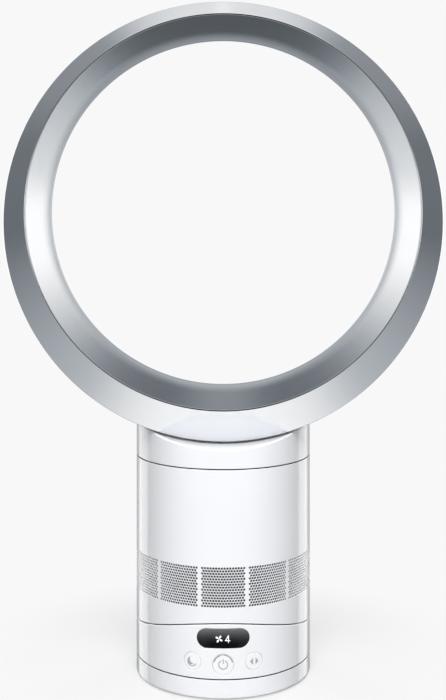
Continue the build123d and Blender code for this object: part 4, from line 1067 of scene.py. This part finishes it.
def plain_plastic(name, colour, ior, rough, texture):
    """Injection-moulded plastic from an unpolished tool: even colour, fine spark texture."""
    return layered_finish(
        name,
        {
            "flow": 14.0,
            "polish": 2.0,
            "skin": (NOISE, {}, {"Scale": 1 / texture, "Detail": 4.0}, "Fac"),
        },
        colour=(colour, darker(colour, 0.86)),
        tone=("flow", *MOST, *WHOLE),
        roughness=("polish", *MOST, rough - 0.06, rough + 0.06),
        relief=(("skin", 0.01),),
        IOR=ior,
    )


def turned_metal(name, colour, rough, feed):
    """Turned or ground metal: fine rings from the tool, which spread the shine along them.

    feed: how far apart the rings lie, in millimetres.
    """
    settings = {"wave_type": "RINGS", "rings_direction": "SPHERICAL", "wave_profile": "SAW"}
    values = {"Scale": BAND / feed, "Distortion": 0.4, "Detail": 2.0}
    return layered_finish(
        name,
        {
            "rings": (WAVES, settings, values, "Fac"),
            "stain": 5.0,
        },
        colour=(colour, darker(colour, 0.85)),
        tone=("stain", *MOST, *WHOLE),
        roughness=("rings", *WHOLE, rough - 0.05, rough + 0.08),
        relief=(("rings", 0.004),),
        Metallic=1.0,
    )


def cast_metal(name, colour, lump, height):
    """Cast or sintered metal: a dull skin pitted by the sand or the powder's grains."""
    return layered_finish(
        name,
        {"pits": (NOISE, {}, {"Scale": 1 / lump, "Detail": 5.0, "Roughness": 0.65}, "Fac")},
        colour=(darker(colour, 0.6), colour),
        tone=("pits", *MOST, *WHOLE),
        roughness=("pits", *MOST, 0.62, 0.45),
        relief=(("pits", height),),
        Metallic=1.0,
    )


def coated_board(colours):
    """Glass-fibre board under green solder mask: glossy, with tracks that show as darker lines."""
    values = {"Scale": 1 / 2.2, "Randomness": 0.35}
    edges = {"Value": "tracks", "From Min": 0.03, "From Max": 0.09, "To Min": 1.0, "To Max": 0.0}
    return layered_finish(
        "glass_fibre_board_masked",
        {
            "tracks": (CELLS, {"feature": "DISTANCE_TO_EDGE"}, values, "Distance"),
            "lines": (RANGE, {}, edges, "Result"),
            "polish": 1.0,
        },
        colour=(colours.board, darker(colours.board, 0.55)),
        tone=("lines", *WHOLE, *WHOLE),
        roughness=("polish", *MOST, 0.22, 0.34),
        relief=(("lines", 0.03),),
        IOR=1.55,
    )


def open_foam(colours):
    """Open-cell polyurethane foam, cut from sheet: matt and pitted with cells 0.8 mm wide."""
    return layered_finish(
        "polyurethane_foam_cut",
        {
            "cells": (CELLS, {"feature": "F1"}, {"Scale": 1 / 0.8}, "Distance"),
            "polish": 2.0,
        },
        colour=(darker(colours.foam, 0.5), colours.foam),
        tone=("cells", 0.1, 0.7, 1.0, 0.0),
        roughness=("polish", *MOST, 0.85, 0.97),
        relief=(("cells", -0.4),),
        IOR=1.45,
    )


FINISHES = {}


def make_finishes(colours):
    """One material for each slot of the record, and for the printed marks."""
    FINISHES.update(
        body_white=gloss_abs(colours),
        ring_silver=silver_lacquer(colours),
        button_white=cap_abs(colours),
        display_black=tinted_acrylic(colours),
        inner_grey=plain_plastic("glass_filled_nylon_moulded", colours.inner, 1.53, 0.5, 0.45),
        rubber_black=plain_plastic("epdm_rubber_moulded", colours.rubber, 1.5, 0.72, 0.6),
        gear_nylon=plain_plastic("natural_nylon_moulded", colours.nylon, 1.53, 0.4, 0.7),
        steel=turned_metal("zinc_plated_steel_turned", colours.steel, 0.3, 0.1085),
        bearing_steel=turned_metal("bearing_steel_ground", colours.bearing, 0.14, 0.0775),
        bush_bronze=cast_metal("bronze_sintered", colours.bronze, 0.35, 0.03),
        ballast_iron=cast_metal("iron_cast", colours.iron, 0.9, 0.12),
        board_green=coated_board(colours),
        foam_black=open_foam(colours),
        grey_print=printed_ink("grey_ink_pad_printed", colours.mark),
        # The arc over the power button is painted shade.
        dark_print=printed_ink("arc_painted_shade_ink", colours.arc),
        filter_cloth=filter_cloth(colours),
        # Dark rings in the seams: painted shade.
        felt=wool_felt(colours),
        lit_mark=printed_ink("white_light_guide_moulded", colours.digit, 0.55),
    )


def dress(piece, finish):
    """Gives a piece one finish all over."""
    piece.data.materials.clear()
    piece.data.materials.append(FINISHES[finish])


class FAN_OT_finishes(bpy.types.Operator):
    """Make the finishes and give each carried-over part the one its slot names"""

    bl_idname = "fan.finishes"
    bl_label = "Finishes"

    def execute(self, context):
        make_finishes(context.scene.fan_colours)
        for entry in frame["record"]["subparts"]:
            node = frame["nodes"][entry["node"]]
            for place in node.material_slots:
                place.material = FINISHES[entry["material_slot"]]
        return {"FINISHED"}


# ---------------------------------------------------------------- studio


SOFT = "SMOOTHSTEP"
EVEN = "LINEAR"

# What gloss sees of the studio, by direction: up, tilt (up or down), aside (to either side) and
# depth (1 behind the fan, -1 in front). Each ramp follows one of these between two stations, from
# its first level to its second.
STUDIO_RAMPS = {
    "air": ("up", -0.45, 0.2, 0.11, 0.145, EVEN),
    "walls": ("depth", 0.2, 0.6, 0.075, 0.0, SOFT),
    # Sheet behind the fan: brightest at the ring's height, dim in the middle, brighter aside.
    "sheet foot": ("up", -0.41, -0.25, 0.0, 0.56, SOFT),
    "sheet rise": ("up", -0.25, -0.1, 0.0, 0.18, EVEN),
    "sheet crest": ("up", -0.1, 0.0, 0.0, 0.36, SOFT),
    "sheet top": ("up", 0.12, 0.4, 1.0, 0.0, EVEN),
    "sheet sides": ("aside", 0.12, 0.42, 0.36, 1.0, SOFT),
    "behind": ("depth", 0.2, 0.6, 0.0, 1.0, SOFT),
    # Two strong panels at the rear sides, which draw the bright rims of the body.
    "panel sides": ("aside", 0.48, 0.6, 0.0, 1.8, SOFT),
    "panel depth": ("depth", 0.455, 0.5, 0.0, 1.0, SOFT),
    "panel level": ("tilt", 0.42, 0.6, 1.0, 0.0, SOFT),
    # Overhead diffuser, and its gleam straight behind.
    "over edge": ("up", 0.35, 0.75, 0.0, 0.22, EVEN),
    "over": ("up", 0.76, 0.89, 0.0, 0.66, SOFT),
    "gleam": ("aside", 0.02, 0.13, 0.14, 0.0, SOFT),
    "gleam foot": ("up", 0.1, 0.25, 0.0, 1.0, SOFT),
    # Light that comes up from the paper in front of the sheet.
    "paper edge": ("up", -0.75, -0.1, 0.45, 0.0, EVEN),
    "paper": ("up", -0.97, -0.72, 0.68, 0.0, SOFT),
    "ahead": ("depth", 0.2, 0.6, 1.0, 0.0, SOFT),
    # Unlit room straight in front, which draws the dark line of the lip.
    "room": ("aside", 0.25, 0.45, 0.88, 0.0, SOFT),
    "room depth": ("depth", -0.4, 0.0, 1.0, 0.0, SOFT),
    "room foot": ("up", -0.92, -0.85, 0.0, 1.0, SOFT),
    "room top": ("up", 0.66, 0.76, 1.0, 0.0, SOFT),
    # Narrow panels beside the camera, which draw the bright glint at the sides of the lip.
    "glint": ("aside", 0.3, 0.45, 0.0, 1.3, SOFT),
    "glint depth": ("depth", -0.5, -0.3, 1.0, 0.0, SOFT),
    "glint level": ("tilt", 0.12, 0.24, 1.0, 0.0, SOFT),
}
# Each row puts its later terms to its first, one after another, under its own name.
STUDIO_SUMS = (
    ("sheet", "ADD", "sheet foot", "sheet rise", "sheet crest"),
    ("sheet", "MULTIPLY", "sheet", "sheet top", "sheet sides", "behind"),
    ("panels", "MULTIPLY", "panel sides", "panel depth", "panel level"),
    ("gleam", "MULTIPLY", "gleam", "gleam foot"),
    ("paper", "ADD", "paper", "paper edge"),
    ("paper", "MULTIPLY", "paper", "ahead"),
    ("glow", "ADD", "air", "walls", "sheet", "panels", "over", "over edge", "gleam", "paper"),
    ("room", "MULTIPLY", "room", "room depth", "room foot", "room top"),
    ("room", "SUBTRACT", 1.0, "room"),
    ("glow", "MULTIPLY", "glow", "room"),
    ("glint", "MULTIPLY", "glint", "glint depth", "glint level"),
    ("glow", "ADD", "glow", "glint"),
)
# Strength of the even light that matt surfaces get from all round.
AMBIENT = 0.03
# Shares of the paper's light that the object gets from it, and that the camera sees on it.
PAPER_FILL = 0.4
PAPER_TONE = 0.73
# The paper fades into the backdrop between these shares of its radius, from and to these amounts.
FADE_REACH = (0.15, 0.6)
FADE_AMOUNT = (0.6, 1.0)
# Soft boxes: name, place, width and height in metres, power in watts. All are turned to LAMP_AIM.
LAMP_AIM = (0.0, 0.0, 0.25)
LAMPS = (
    ("front softbox", (0.0, -1.9, 0.75), (0.9, 0.8), 15.0),
    ("high softbox", (0.0, -1.15, 1.75), (0.8, 0.9), 39.0),
    ("left rear softbox", (-1.05, 1.35, 0.45), (0.5, 0.9), 16.5),
    ("right rear softbox", (1.05, 1.35, 0.45), (0.5, 0.9), 16.5),
    ("top softbox", (0.0, -0.5, 2.0), (1.4, 1.4), 10.0),
)


def join_views(tree, path, plain, shiny, camera, camera_share, output):
    """Joins what plain light, gloss and glass, and the camera each see, and ends the tree."""
    kinds = {0: path.outputs["Is Glossy Ray"], 1: path.outputs["Is Transmission Ray"]}
    shiny_share = add_node(tree, SUMS, {"operation": "MAXIMUM"}, kinds).outputs[0]
    surface = plain.outputs[0]
    for share, other in ((shiny_share, shiny), (camera_share, camera)):
        inputs = {0: share, 1: surface, 2: other.outputs[0]}
        surface = add_node(tree, "ShaderNodeMixShader", None, inputs).outputs[0]
    add_node(tree, output, None, {"Surface": surface})


def set_world(colours):
    """Pale studio: what the camera sees is even, and shiny surfaces see a few soft panels."""
    world = bpy.data.worlds.new("studio")
    bpy.context.scene.world = world
    tree = empty_tree(world)
    way = add_node(tree, "ShaderNodeTexCoord").outputs["Generated"]
    up = add_node(tree, "ShaderNodeSeparateXYZ", None, {"Vector": way}).outputs["Z"]
    level = {0: way, 1: (1.0, 1.0, 0.0)}
    flat = add_node(tree, "ShaderNodeVectorMath", {"operation": "MULTIPLY"}, level)
    flat = {0: flat.outputs["Vector"]}
    unit = add_node(tree, "ShaderNodeVectorMath", {"operation": "NORMALIZE"}, flat)
    parts = add_node(tree, "ShaderNodeSeparateXYZ", None, {"Vector": unit.outputs["Vector"]})
    size = {"operation": "ABSOLUTE"}
    made = {
        "up": up,
        "depth": parts.outputs["Y"],
        "aside": add_node(tree, SUMS, size, {0: parts.outputs["X"]}).outputs[0],
        "tilt": add_node(tree, SUMS, size, {0: up}).outputs[0],
    }
    for name, (value, start, end, low, high, kind) in STUDIO_RAMPS.items():
        span = {"From Min": start, "From Max": end, "To Min": low, "To Max": high}
        ramp = add_node(tree, RANGE, {"interpolation_type": kind}, {"Value": made[value], **span})
        made[name] = ramp.outputs["Result"]
    for name, operation, first, *others in STUDIO_SUMS:
        total = made.get(first, first)
        for other in others:
            terms = {0: total, 1: made[other]}
            total = add_node(tree, SUMS, {"operation": operation}, terms).outputs[0]
        made[name] = total
    glow = made["glow"]
    cast = {"Factor": glow, MIX_LOW: colours.shade, MIX_HIGH: colours.studio}
    cast = add_node(tree, MIX, COLOURS, cast).outputs[MIX_RESULT]
    lights = []
    for colour, strength in ((colours.studio, AMBIENT), (cast, glow), (colours.studio, 1.0)):
        values = {"Color": colour, "Strength": strength}
        lights.append(add_node(tree, "ShaderNodeBackground", None, values))
    path = add_node(tree, "ShaderNodeLightPath")
    join_views(tree, path, *lights, path.outputs["Is Camera Ray"], "ShaderNodeOutputWorld")


def floor_finish(colours, radius):
    """Pale paper, smooth and matt: it keeps the object's shadow and fades into the backdrop.

    Gloss sees past it.
    """
    material = bpy.data.materials.new("studio_paper")
    tree = empty_tree(material)
    place = add_node(tree, "ShaderNodeTexCoord").outputs["Object"]
    reach = add_node(tree, "ShaderNodeVectorMath", {"operation": "LENGTH"}, {"Vector": place})
    path = add_node(tree, "ShaderNodeLightPath")
    camera = path.outputs["Is Camera Ray"]
    # Black flags beside the set: the object gets less light from the paper than the camera sees.
    tones = {
        "Factor": camera,
        MIX_LOW: darker(colours.studio, PAPER_FILL),
        MIX_HIGH: darker(colours.studio, PAPER_TONE),
    }
    tone = add_node(tree, MIX, COLOURS, tones).outputs[MIX_RESULT]
    paper = add_node(tree, "ShaderNodeBsdfDiffuse", None, {"Color": tone})
    clear = add_node(tree, "ShaderNodeBsdfTransparent")
    seen = {"Color": colours.studio, "Strength": 1.0}
    seen = add_node(tree, "ShaderNodeEmission", None, seen)
    ramp = {
        "Value": reach.outputs["Value"],
        "From Min": FADE_REACH[0] * radius,
        "From Max": FADE_REACH[1] * radius,
        "To Min": FADE_AMOUNT[0],
        "To Max": FADE_AMOUNT[1],
    }
    fade = add_node(tree, RANGE, {"interpolation_type": SOFT}, ramp).outputs["Result"]
    fade = add_node(tree, SUMS, {"operation": "MULTIPLY"}, {0: camera, 1: fade}).outputs[0]
    join_views(tree, path, paper, clear, seen, fade, "ShaderNodeOutputMaterial")
    return material


def add_lamp(name, place, size, power):
    """Soft box of this width and height at a place, turned towards the fan."""
    lamp = bpy.data.lights.new(name, "AREA")
    lamp.shape = "RECTANGLE"
    lamp.size, lamp.size_y = size
    lamp.energy = power
    holder = bpy.data.objects.new(name, lamp)
    holder.location = place
    way = [target - start for target, start in zip(LAMP_AIM, place)]
    level = hypot(way[0], way[1])
    holder.rotation_euler = (pi / 2 + atan2(way[2], level), 0.0, atan2(way[1], way[0]) - pi / 2)
    holder.visible_camera = False
    # Shiny surfaces see the backdrop's panels in place of the lamps.
    holder.visible_glossy = False
    bpy.context.scene.collection.objects.link(holder)


class FAN_OT_studio(bpy.types.Operator):
    """Add the camera, the pale floor, the backdrop and the soft lamps"""

    bl_idname = "fan.studio"
    bl_label = "Studio"

    def execute(self, context):
        sizes = context.scene.fan_studio
        colours = context.scene.fan_colours
        lens = bpy.data.cameras.new("camera")
        lens.lens = sizes.lens
        lens.sensor_width = 36.0
        lens.shift_x = sizes.shift_across
        lens.shift_y = sizes.shift_up
        camera = bpy.data.objects.new("camera", lens)
        camera.location = (0.0, -sizes.camera_distance, sizes.camera_height)
        camera.rotation_euler = (pi / 2, 0.0, 0.0)
        context.scene.collection.objects.link(camera)
        context.scene.camera = camera

        steps = 128
        reach = sizes.floor_radius
        points = [(0.0, 0.0, 0.0)]
        points += [(reach * cos(angle), reach * sin(angle), 0.0) for angle in round_angles(steps)]
        faces = [(0, step + 1, (step + 1) % steps + 1) for step in range(steps)]
        floor = add_piece("studio_floor", points, faces)
        floor.data.materials.append(floor_finish(colours, reach))

        set_world(colours)
        for lamp in LAMPS:
            add_lamp(*lamp)
        context.scene.view_settings.view_transform = "Standard"
        return {"FINISHED"}


# ---------------------------------------------------------------- panel and run


class FAN_PT_dressing(bpy.types.Panel):
    """Lists the steps that dress the fan"""

    bl_label = "Bladeless fan"
    bl_idname = "FAN_PT_dressing"
    bl_space_type = "VIEW_3D"
    bl_region_type = "UI"
    bl_category = "Fan"

    def draw(self, context):
        for step in STEPS:
            self.layout.operator(step.bl_idname)
        for group in GROUPS:
            for item in getattr(context.scene, group).bl_rna.properties:
                if item.identifier not in ("rna_type", "name"):
                    self.layout.prop(getattr(context.scene, group), item.identifier)


STEPS = (
    FAN_OT_finishes,
    FAN_OT_ring_shells,
    FAN_OT_air_inlet,
    FAN_OT_seam_shade_rings,
    FAN_OT_display,
    FAN_OT_buttons,
    FAN_OT_studio,
)
GROUPS = {
    "fan_ring": FanRingSizes,
    "fan_inlet": FanInletSizes,
    "fan_control": FanControlSizes,
    "fan_colours": FanColours,
    "fan_studio": FanStudioSizes,
}


def register():
    """Registers the classes and hangs the property groups on the scene."""
    for kind in (*GROUPS.values(), *STEPS, FAN_PT_dressing):
        bpy.utils.register_class(kind)
    for name, group in GROUPS.items():
        setattr(bpy.types.Scene, name, bpy.props.PointerProperty(type=group))


def unregister():
    """Takes the property groups and the classes away again."""
    for name in GROUPS:
        delattr(bpy.types.Scene, name)
    for kind in (FAN_PT_dressing, *reversed(STEPS), *GROUPS.values()):
        bpy.utils.unregister_class(kind)


def main():
    """Dresses the fan step by step."""
    register()
    bpy.ops.fan.finishes()
    bpy.ops.fan.ring_shells()
    bpy.ops.fan.air_inlet()
    bpy.ops.fan.seam_seals()
    bpy.ops.fan.display()
    bpy.ops.fan.buttons()
    bpy.ops.fan.studio()


if __name__ == "__main__":
    main()
